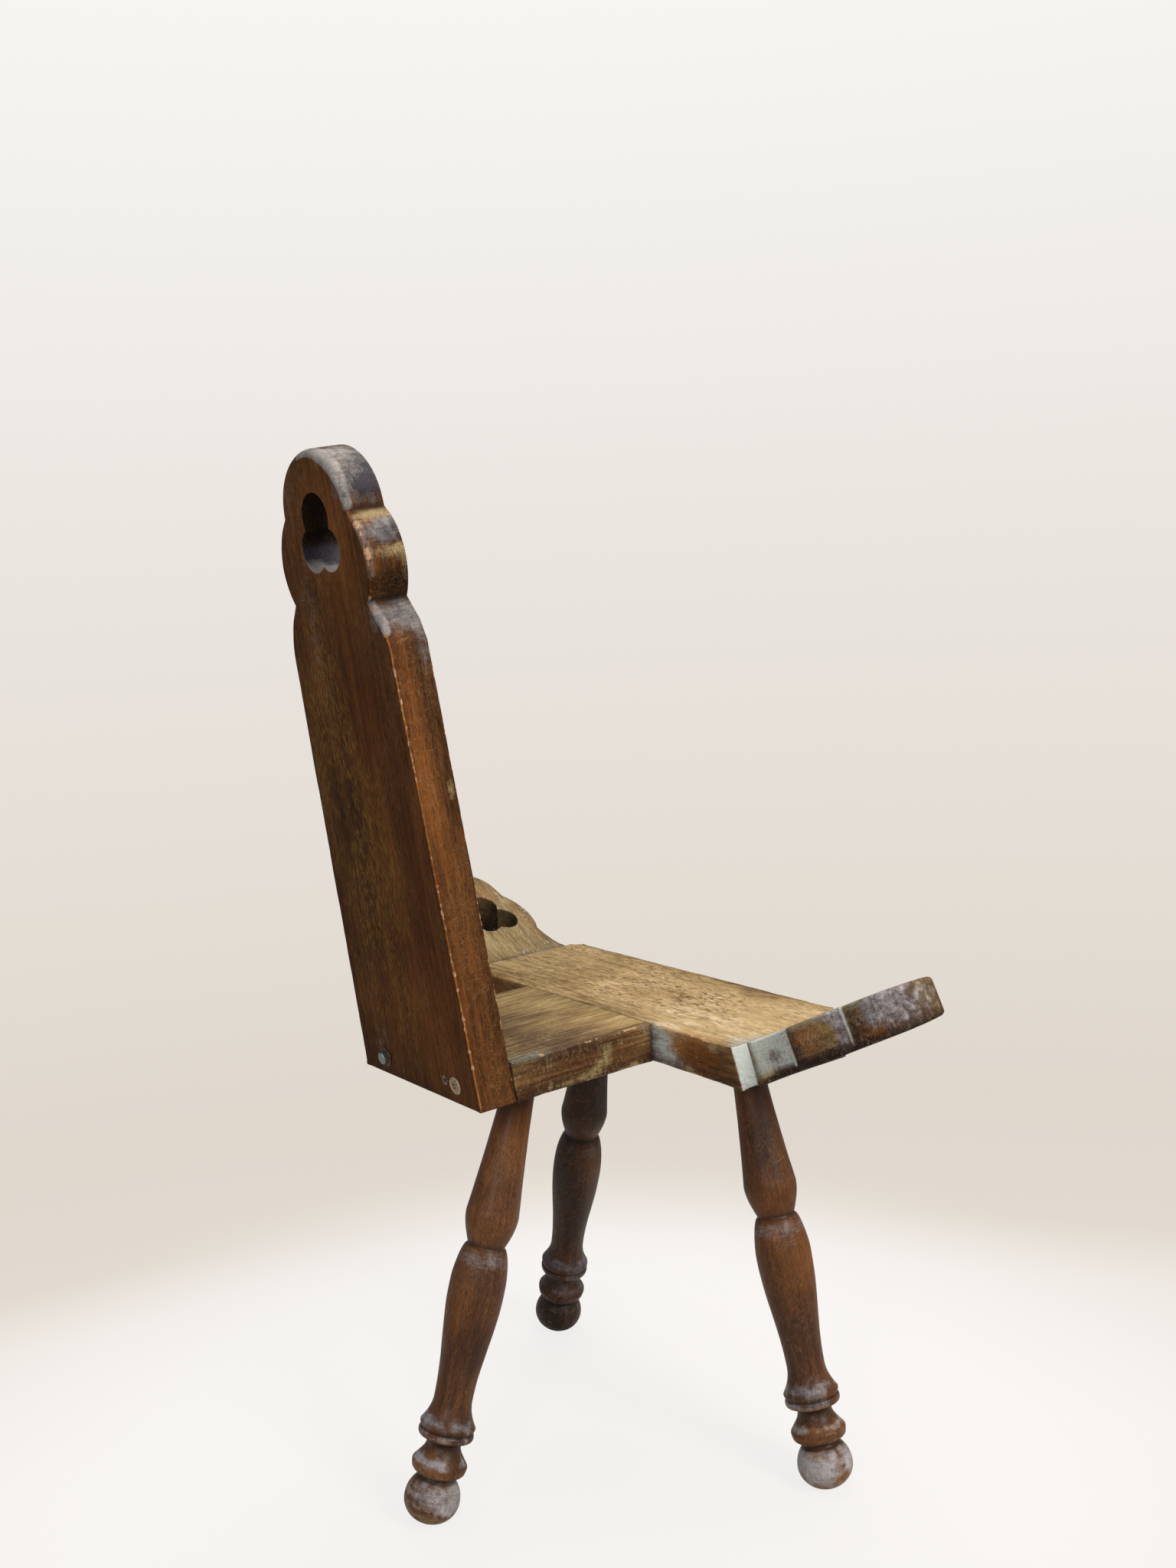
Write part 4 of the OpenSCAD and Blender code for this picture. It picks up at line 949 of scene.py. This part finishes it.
def oak(name, look):
    # Old oak: rings, open pores and fibre along the grain, and a stain worn off where hands and clothes rub
    made, tree, shader = newMaterial(name)

    def field(key, out="Fac"):
        return addNode(tree, "ShaderNodeAttribute", attribute_name=key).outputs[out]

    coords = field("grain", "Vector")

    def pattern(long, across, detail, rough=0.55, distort=0.0, deep=None, seed=0.0):
        at = sized(tree, coords, long, across, deep, (seed + look["seed"], seed * 1.7, seed * 0.6))
        return addNode(tree, "ShaderNodeTexNoise", {"Vector": at, "Scale": 1.0, "Detail": detail,
                                                    "Roughness": rough, "Distortion": distort}).outputs["Fac"]

    def ramped(value, *stops):
        return addNode(tree, "ShaderNodeValToRGB", {"Fac": value}, stops).outputs["Color"]

    def toned(value, stops, palette):
        return ramped(value, *zip(stops, look[palette]))

    def maths(kind, a, b, clamp=False):
        return addNode(tree, "ShaderNodeMath", {0: a, 1: b}, operation=kind, use_clamp=clamp).outputs[0]

    def mixed(amount, a, b, kind="MIX"):
        return addNode(tree, "ShaderNodeMix", {0: amount, 6: a, 7: b}, data_type="RGBA",
                       blend_type=kind).outputs[2]

    def summed(*parts):
        total = parts[0]
        for part in parts[1:]:
            total = maths("ADD", total, part)
        return total

    def times(a, b):
        return maths("MULTIPLY", a, b)

    fibre = pattern(60 * look["long"], 0.8, 6, 0.65)
    streak = pattern(150 * look["long"], 5.5 * look["wide"], 4, 0.6, 0.6, seed=3)
    band = pattern(320, 26, 2, 0.5, 0.8, seed=5)
    cloud = pattern(90, 60, 3, 0.55, seed=8)
    mottle = pattern(16, 9, 4, 0.6, seed=11)
    crumb = pattern(4.5, 2.6, 3, 0.6, seed=17)
    pore = ramped(pattern(7.5, 0.42, 2, 0.5, seed=14), (0.36, 1.0), (0.46, 0.0))
    ringAt = addNode(tree, "ShaderNodeMapping", {"Vector": coords, "Scale": (0.05, 1, 1),
                                                 "Location": look["pith"]}).outputs[0]
    # A ring of the wave pattern is about a third of its unit wide
    rings = addNode(tree, "ShaderNodeTexWave", {
        "Vector": ringAt, "Scale": 0.314 / (look["ringMm"] * mm), "Distortion": 2.2, "Detail": 2.0,
        "Detail Scale": 0.6}, wave_type="RINGS", rings_direction="X").outputs["Fac"]

    value = summed(times(fibre, look["fibre"]), times(streak, look["streak"]), times(band, look["band"]),
                   times(rings, look["rings"]), times(cloud, look["cloud"]), look["lift"], field("tone"))
    colour = toned(value, (0.0, 0.3, 0.55, 0.8, 1.0), "wood")
    warmth = maths("MULTIPLY", field("warm"), ramped(streak, (0.25, 0.35), (0.7, 1.0)), True)
    colour = mixed(warmth, colour, toned(value, (0.1, 0.75), "warm"))

    # Short flecks along the grain, where the wood's rays or old stain show
    fleck = ramped(pattern(look["fleckMm"], look["fleckMm"] / look["fleckThin"], 3, 0.6, seed=21),
                   (look["fleckFrom"], 0.0), (look["fleckFrom"] + 0.05, 1.0))
    fleck = times(fleck, ramped(summed(times(mottle, 0.5), times(cloud, 0.5)), (0.42, 0.15), (0.54, 1.0)))
    fleckAt = maths("MULTIPLY", summed(field("fleck"), 0.2), fleck, True)
    colour = mixed(times(fleckAt, look["fleckAmount"]), colour, toLinear(look["fleckTone"]))

    # Fine scratches: three sets of thin lines at their own angles
    scratches = None
    for angle, size, seed in ((0.5, 0.5, 1.0), (-0.75, 0.42, 2.0), (1.3, 0.6, 3.0)):
        tilted = addNode(tree, "ShaderNodeMapping", {
            "Vector": coords, "Rotation": (angle * 0.4, angle * 0.6, angle)}).outputs[0]
        lines = addNode(tree, "ShaderNodeTexNoise", {
            "Vector": sized(tree, tilted, 22, size, 6, (seed * 5, seed, 0)), "Scale": 1.0, "Detail": 1.0,
            "Roughness": 0.4}).outputs["Fac"]
        thin = ramped(summed(lines, times(field("scuff"), 0.07)), (0.66, 0.0), (0.71, 1.0))
        scratches = thin if scratches is None else maths("MAXIMUM", scratches, thin)
    scratches = times(scratches, maths("MAXIMUM", ramped(cloud, (0.42, 0.1), (0.62, 1.0)), field("scuff")))
    colour = mixed(times(scratches, look["scratch"]), colour, toLinear(look["scratchTone"]))

    # Bleached, greyed wood where the stain and wax are gone, and straw-coloured wood under it; on the legs
    # the grey and straw also carry painted sheen, and in the back's hand hole the grey is painted light
    scrape = pattern(1.8, 16, 3, 0.55, 0.3, 11, seed=24)
    ragged = summed(times(fibre, 0.4), times(mottle, 0.6), times(crumb, 0.3), times(scrape, 0.5), -0.9)
    ragged = times(ragged, look["ragged"])
    strawAt = ramped(summed(field("straw"), ragged), (0.3, 0.0), (0.75, 1.0))
    colour = mixed(strawAt, colour, toned(fibre, (0.35, 0.65), "straw"))
    greyAt = ramped(summed(field("grey"), ragged), (0.22, 0.0), (0.8, 1.0))
    spread = summed(times(streak, 0.3), times(mottle, 0.25), times(crumb, 0.12), times(scrape, 0.2), -0.435)
    greyValue = summed(times(spread, look["spread"]), times(field("tone"), 0.4), 0.495)
    colour = mixed(greyAt, colour, toned(greyValue, (0.4, 0.52, 0.66), "grey"))

    # Rubbed edges, ragged along the grain, and chips that show raw wood
    broken = summed(times(crumb, 0.9), times(mottle, 0.7), times(fibre, 0.3), -0.95)
    worn = ramped(summed(field("wear"), broken), (look["wearFrom"], 0.0), (look["wearFrom"] + 0.2, 1.0))
    colour = mixed(times(worn, look["wearAmount"]), colour, toned(streak, (0.3, 0.7), "wear"))
    chipped = ramped(times(field("chip"), ramped(crumb, (0.4, 0.0), (0.54, 1.0))), (0.3, 0.0), (0.42, 1.0))
    colour = mixed(chipped, colour, toned(fibre, (0.35, 0.68), "chip"))

    # Dirt in the pores; painted shade in the corners, notches, grooves and hand holes, with dark joint lines
    grime = times(pore, summed(times(ramped(mottle, (0.42, 0.0), (0.62, 1.0)), 0.3), look["pore"]))
    colour = mixed(grime, colour, toLinear(look["poreTone"]), "MULTIPLY")
    corner = maths("MULTIPLY", field("grime"), ramped(mottle, (0.3, 0.8), (0.7, 1.0)), True)
    colour = mixed(times(corner, 0.88), colour, toLinear(look["shadeAndJointTone"]))

    rough = summed(times(mottle, 0.16), times(fibre, 0.12), look["rough"])
    height = summed(times(fibre, 0.55), times(pore, -0.5), times(scratches, -0.3), times(fleck, 0.1))
    coarse = bumped(tree, 0.5, 1.2, summed(times(mottle, 0.5), times(streak, 0.6)))
    for key, given in (("Base Color", colour), ("Roughness", maths("ADD", rough, times(greyAt, 0.12), True)),
                       ("Normal", bumped(tree, look["bump"], 0.5, height, coarse))):
        tree.links.new(given, shader.inputs[key])
    for key, given in (("Specular IOR Level", "shine"), ("Coat Weight", "coat"),
                       ("Coat Roughness", "coatRough")):
        shader.inputs[key].default_value = look[given]
    return made


# What the oaks share; wood goes from its deepest tone to its palest, the other palettes from dark to light
oakBase = {
    "long": 1.0, "wide": 1.0, "ragged": 1.0, "spread": 1.0, "ringMm": 5.5, "fibre": 0.85, "streak": 0.55,
    "band": 0.35, "rings": 0.06, "cloud": 0.5, "lift": -0.65, "pore": 0.5, "scratch": 0.35, "rough": 0.5,
    "bump": 0.5, "shine": 0.1, "coat": 0.0, "coatRough": 0.38,
    "wood": ("#150a04", "#311b0a", "#4d2f17", "#734822", "#94683a"), "warm": ("#401e0c", "#8a5022"),
    "grey": ("#424047", "#77726f", "#a8a19c"), "straw": ("#8a7350", "#b8a274"),
    "wear": ("#9a5a26", "#cc8c4a"), "wearFrom": 0.72, "wearAmount": 0.9, "chip": ("#b8804e", "#e0bc98"),
    "fleckFrom": 0.53, "fleckMm": 7.0, "fleckThin": 8, "fleckAmount": 0.75, "fleckTone": "#98722e",
    "scratchTone": "#9c8262", "poreTone": "#3a2416", "shadeAndJointTone": "#140b05"}
looks = {
    # The back: dark wax over red-brown stain, with golden flecks
    "back": dict(oakBase, seed=1.0, pith=(0, 0.02, 0.09)),
    # The cross board: rubbed to bare honey-coloured wood on top
    "cross": dict(oakBase, seed=4.0, pith=(0, 0.05, -0.12), long=0.22, wide=0.9, ragged=1.4, fibre=0.8,
                  streak=0.8, band=0.3, cloud=0.9, lift=-0.83, shine=0.2,
                  wood=("#3e2810", "#6e5634", "#a68c5e", "#c0a67a", "#dccaa6"), warm=("#4a2408", "#a0662c"),
                  grey=("#5f5358", "#98948f", "#c6cfca"), straw=("#9a8a66", "#c4b48c"),
                  wear=("#8a6840", "#c2a473"), chip=("#9a7648", "#d9c29a"), fleckFrom=0.51, fleckMm=8.0,
                  fleckThin=4, fleckAmount=0.9, fleckTone="#5f4622", scratchTone="#d6c49c",
                  poreTone="#6b4d2c", shadeAndJointTone="#1f140c"),
    # The rear board: darker, still streaked with stain
    "rear": dict(oakBase, seed=7.0, pith=(0, -0.06, -0.1), long=0.5, wide=0.7, ragged=1.6, fibre=0.9,
                 streak=1.0, band=0.4, cloud=0.7, lift=-1.02, shine=0.2,
                 wood=("#2c1a0c", "#503a20", "#836b45", "#a8915f", "#c4ac82"), warm=("#4f2c10", "#9a6a38"),
                 grey=("#5f5a50", "#85806e", "#b3ae98"), straw=("#80704a", "#b0a070"),
                 wear=("#80623a", "#b29a6c"), chip=("#8a6a40", "#c9ad82"), fleckFrom=0.56, fleckMm=12.0,
                 fleckAmount=0.5, fleckTone="#5a4226", scratchTone="#c0a878", poreTone="#5a4226",
                 shadeAndJointTone="#1a110a"),
    # The wings: olive-tan on top, grey where the edge is bare
    "wing": dict(oakBase, seed=10.0, pith=(0, 0.03, -0.14), long=0.4, wide=0.8, ragged=1.5, spread=1.4,
                 fibre=0.7, streak=0.8, band=0.3, cloud=0.6, lift=-0.72, scratch=0.5, shine=0.2,
                 wood=("#26180c", "#503c22", "#857048", "#a39168", "#bcab84"), warm=("#4a220c", "#a4622a"),
                 grey=("#54484a", "#948e8e", "#c9cfc5"), straw=("#8f7e5c", "#b5a988"),
                 wear=("#7c6848", "#b0a27c"), chip=("#8a7048", "#cdbb94"), fleckFrom=0.55, fleckMm=9.0,
                 fleckAmount=0.5, fleckTone="#6b4f30", scratchTone="#cabf9c", poreTone="#4f3b24",
                 shadeAndJointTone="#241610"),
    # The legs: dark red-brown wax, with a sheen from the coat, a painted sheen on the disc, ring and flare,
    # and grey feet
    "leg": dict(oakBase, seed=13.0, pith=(0, 0.012, 0.01), ringMm=3.5, cloud=0.45, lift=-0.72, ragged=0.9,
                rough=0.32, shine=0.2, coat=0.25,
                wood=("#120703", "#28140a", "#432511", "#683f1f", "#86603c"), warm=("#3a1a09", "#84501f"),
                grey=("#4c4244", "#7a7274", "#aaa7a8"), straw=("#6a5230", "#94794c"),
                wear=("#5c3a24", "#9a7a56"), wearFrom=0.8, wearAmount=0.6, fleckFrom=0.57, fleckMm=6.0,
                fleckAmount=0.5, fleckTone="#86683a")}
oaks = {key: oak("oak_" + key, look) for key, look in looks.items()}
for key, piece in boards.items():
    piece.data.materials.append(oaks["wing" if "Wing" in key else key])
for piece in legs:
    piece.data.materials.append(oaks["leg"])
print("oak dressed")


def metal(name, look):
    # Dull plated metal: soft blotches of tarnish and fine rub marks
    made, tree, shader = newMaterial(name)
    coords = addNode(tree, "ShaderNodeTexCoord").outputs["Object"]
    spots = addNode(tree, "ShaderNodeTexNoise", {"Vector": coords, "Scale": 1 / (look["spotMm"] * mm),
                                                 "Detail": 5.0, "Roughness": 0.65}).outputs["Fac"]
    marks = addNode(tree, "ShaderNodeTexNoise", {"Vector": sized(tree, coords, 9, 0.35), "Scale": 1.0,
                                                 "Detail": 2.0}).outputs["Fac"]
    shade = addNode(tree, "ShaderNodeValToRGB", {"Fac": spots}, [
        (0.32, look["stain"]), (0.5, look["base"]), (0.68, look["bright"])]).outputs[0]
    if "recess" in look:
        # Painted shade in the driver's recess, at the middle of the head
        away = addNode(tree, "ShaderNodeVectorMath", {0: coords, 1: look["recess"]}, operation="DISTANCE")
        dirt = addNode(tree, "ShaderNodeMapRange", {
            "Value": away.outputs["Value"], "From Min": 0.75 * look["reach"] * mm,
            "From Max": 1.15 * look["reach"] * mm, "To Min": 1.0, "To Max": 0.0}).outputs[0]
        shade = addNode(tree, "ShaderNodeMix", {0: dirt, 6: shade, 7: toLinear(look["dirt"])},
                        data_type="RGBA").outputs[2]
    rough = addNode(tree, "ShaderNodeMapRange", {"Value": spots, "To Min": look["rough"] + 0.14,
                                                 "To Max": look["rough"] - 0.08}).outputs[0]
    for key, given in (("Base Color", shade), ("Roughness", rough),
                       ("Normal", bumped(tree, 0.25, 0.2, marks))):
        tree.links.new(given, shader.inputs[key])
    shader.inputs["Metallic"].default_value = look["metallic"]
    return made


def recessAt(node, x, out):
    # The middle of a screw's head, in the screw's own frame
    return tuple(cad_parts[node].matrix_world.inverted() @ onBack(x, out).translation)


steel = {"spotMm": 2, "stain": "#6e6258", "base": "#a2988c", "bright": "#e6e0d8", "rough": 0.38,
         "metallic": 0.5, "recess": recessAt("short_screw", fixing["short"], -2), "reach": 2.4,
         "dirt": "#1f1812"}
metalLooks = {
    # Zinc gives the cool pale hexagon, and under dirt the dark washer
    "dull_zinc": {"spotMm": 3, "stain": "#6c6a62", "base": "#9ea8a4", "bright": "#c4d0cc", "rough": 0.42,
                  "metallic": 0.75},
    "dirty_zinc": {"spotMm": 4, "stain": "#3c2c20", "base": "#5a483a", "bright": "#8c7c6c", "rough": 0.6,
                   "metallic": 0.4},
    # Old steel gives the grey screw and the tan one, each with a dark middle of painted shade
    "tarnished_steel_short": steel,
    "tarnished_steel_long": dict(steel, recess=recessAt("long_screw", fixing["long"], 0.6), reach=2.5,
                                 stain="#8a7254", base="#c0a884", bright="#e6d2b0"),
    # Brass gives the warm pale ring
    "dull_brass": {"spotMm": 2.5, "stain": "#8a7158", "base": "#bfa588", "bright": "#e0cbb0", "rough": 0.45,
                   "metallic": 0.35}}
metals = {name: metal(name, look) for name, look in metalLooks.items()}
for piece, look, slot in ((head, "dull_zinc", "zinc_steel"), (washer, "dirty_zinc", "zinc_steel"),
                          (cup, "dull_brass", "dull_brass")):
    piece.data.materials.append(metals[look])


# Beech dowels stay hidden in their joints, as plain light wood with a fine grain
def dowelWood():
    made, tree, shader = newMaterial("plain_beech")
    coords = addNode(tree, "ShaderNodeTexCoord").outputs["Object"]
    grain = addNode(tree, "ShaderNodeTexNoise", {"Vector": sized(tree, coords, 1.2, 12, 1.2), "Scale": 1.0,
                                                 "Detail": 4.0}).outputs["Fac"]
    colour = addNode(tree, "ShaderNodeValToRGB", {"Fac": grain}, [(0.3, "#a8845a"), (0.7, "#cfae80")])
    tree.links.new(colour.outputs[0], shader.inputs["Base Color"])
    tree.links.new(bumped(tree, 0.3, 0.3, grain), shader.inputs["Normal"])
    shader.inputs["Roughness"].default_value = 0.6
    return made


beech = dowelWood()
kept = {"short_screw": metals["tarnished_steel_short"], "long_screw": metals["tarnished_steel_long"],
        "seam_dowels": beech, "back_dowels": beech, "left_wing_dowels": beech, "right_wing_dowels": beech}
for node, look in kept.items():
    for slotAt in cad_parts[node].material_slots:
        slotAt.material = look
print("fixings dressed")


def seenBy(tree, mirrored):
    # 1 for what the eye sees straight on or through glass, less for what wax and metal mirror
    rays = addNode(tree, "ShaderNodeLightPath").outputs
    seen = addNode(tree, "ShaderNodeMath", {0: rays["Is Glossy Ray"], 1: mirrored}, operation="MULTIPLY")
    for kind in ("Is Camera Ray", "Is Transmission Ray"):
        seen = addNode(tree, "ShaderNodeMath", {0: seen.outputs[0], 1: rays[kind]}, operation="MAXIMUM")
    return seen.outputs[0]


# Floor: pale paper that takes the chair's shadow, fading into the backdrop before its edge can show
def addFloor(look):
    mesh = bpy.data.meshes.new("floor")
    reach = look["reach"]
    corners = [(x * reach, y * reach, 0) for x, y in ((-1, -1), (1, -1), (1, 1), (-1, 1))]
    mesh.from_pydata(corners, [], [(0, 1, 2, 3)])
    floor = bpy.data.objects.new("floor", mesh)
    bpy.context.collection.objects.link(floor)
    made, tree, shader = newMaterial("pale_paper")
    coords = addNode(tree, "ShaderNodeTexCoord").outputs["Object"]
    away = addNode(tree, "ShaderNodeVectorMath", {0: coords}, operation="LENGTH").outputs["Value"]
    fade = addNode(tree, "ShaderNodeMapRange", {"Value": away, "From Min": look["solid"], "From Max": reach},
                   interpolation_type="SMOOTHSTEP")
    shader.inputs["Base Color"].default_value = toLinear(look["tone"])
    shader.inputs["Roughness"].default_value = 0.9
    shader.inputs["Specular IOR Level"].default_value = 0.1
    # Seen straight on, most of the paper's tone is its own, so the shadow stays faint
    seen = addNode(tree, "ShaderNodeMath", {0: seenBy(tree, look["mirrored"]), 1: look["own"]},
                   operation="MULTIPLY")
    paper = addNode(tree, "ShaderNodeEmission", {"Color": toLinear(look["shown"])})
    part = addNode(tree, "ShaderNodeMixShader", {0: seen.outputs[0], 1: shader.outputs[0],
                                                 2: paper.outputs[0]})
    clear = addNode(tree, "ShaderNodeBsdfTransparent")
    both = addNode(tree, "ShaderNodeMixShader", {0: fade.outputs[0], 1: part.outputs[0], 2: clear.outputs[0]})
    sheet = next(n for n in tree.nodes if n.type == "OUTPUT_MATERIAL")
    tree.links.new(both.outputs[0], sheet.inputs["Surface"])
    mesh.materials.append(made)


addFloor({"reach": 0.75, "solid": 0.36, "tone": "#cdc7c0", "shown": "#fdfbf9", "own": 0.84, "mirrored": 0.1})


def addLight(name, look):
    data = bpy.data.lights.new(name, "AREA")
    data.shape = "RECTANGLE"
    data.size, data.size_y = look["size"]
    data.energy = look["power"]
    data.color = toLinear(look["tone"])[:3]
    lamp = bpy.data.objects.new(name, data)
    lamp.location = look["place"]
    lamp.rotation_mode = "QUATERNION"
    aim = Vector((0, 0, look["aim"]))
    lamp.rotation_quaternion = (aim - Vector(look["place"])).to_track_quat("-Z", "Y")
    bpy.context.collection.objects.link(lamp)


# Soft lamps: one from the chair's right, one from behind, and one overhead
lamps = {
    "key": {"place": (-2.4, -0.4, 2.0), "aim": 0.45, "size": (1.0, 1.0), "power": 62, "tone": "#fff8f0"},
    "front": {"place": (-1.4, 2.0, 1.5), "aim": 0.4, "size": (0.5, 0.7), "power": 18, "tone": "#fbfaff"},
    "top": {"place": (0.3, -0.5, 3.0), "aim": 0.3, "size": (1.8, 1.8), "power": 60, "tone": "#fffdf8"}}
for name, look in lamps.items():
    addLight(name, look)


def addWorld(look):
    world = bpy.data.worlds.new("studio")
    bpy.context.scene.world = world
    world.use_nodes = True
    tree = world.node_tree
    tree.nodes.clear()
    ray = addNode(tree, "ShaderNodeTexCoord").outputs["Generated"]
    height = addNode(tree, "ShaderNodeSeparateXYZ", {0: ray}).outputs["Z"]
    lift = addNode(tree, "ShaderNodeMapRange", {"Value": height, "From Min": look["low"],
                                                "From Max": look["high"]})
    sky = addNode(tree, "ShaderNodeValToRGB", {"Fac": lift.outputs[0]}, look["tones"])
    lit = addNode(tree, "ShaderNodeBackground", {"Color": toLinear(look["tone"]),
                                                 "Strength": look["strength"]})
    shown = addNode(tree, "ShaderNodeBackground", {"Color": sky.outputs[0], "Strength": 1.0})
    both = addNode(tree, "ShaderNodeMixShader", {0: seenBy(tree, look["mirrored"]), 1: lit.outputs[0],
                                                 2: shown.outputs[0]})
    addNode(tree, "ShaderNodeOutputWorld", {"Surface": both.outputs[0]})


# Backdrop, from the floor at the chair's feet up to the wall above its head
addWorld({"tone": "#fbf8f4", "strength": 0.2, "mirrored": 0.15, "low": -0.6, "high": 0.4,
          "tones": [(0.02, "#f3eeeb"), (0.1, "#f5f1ee"), (0.17, "#efe9e3"), (0.2, "#e2dad0"),
                    (0.27, "#dfd7cc"), (0.38, "#e3dcd3"), (0.55, "#e8e2dc"), (0.68, "#ece7e2"),
                    (0.8, "#f1eeea"), (0.94, "#f6f5f2")]})
bpy.context.scene.view_settings.view_transform = "Standard"
print("stage lit")
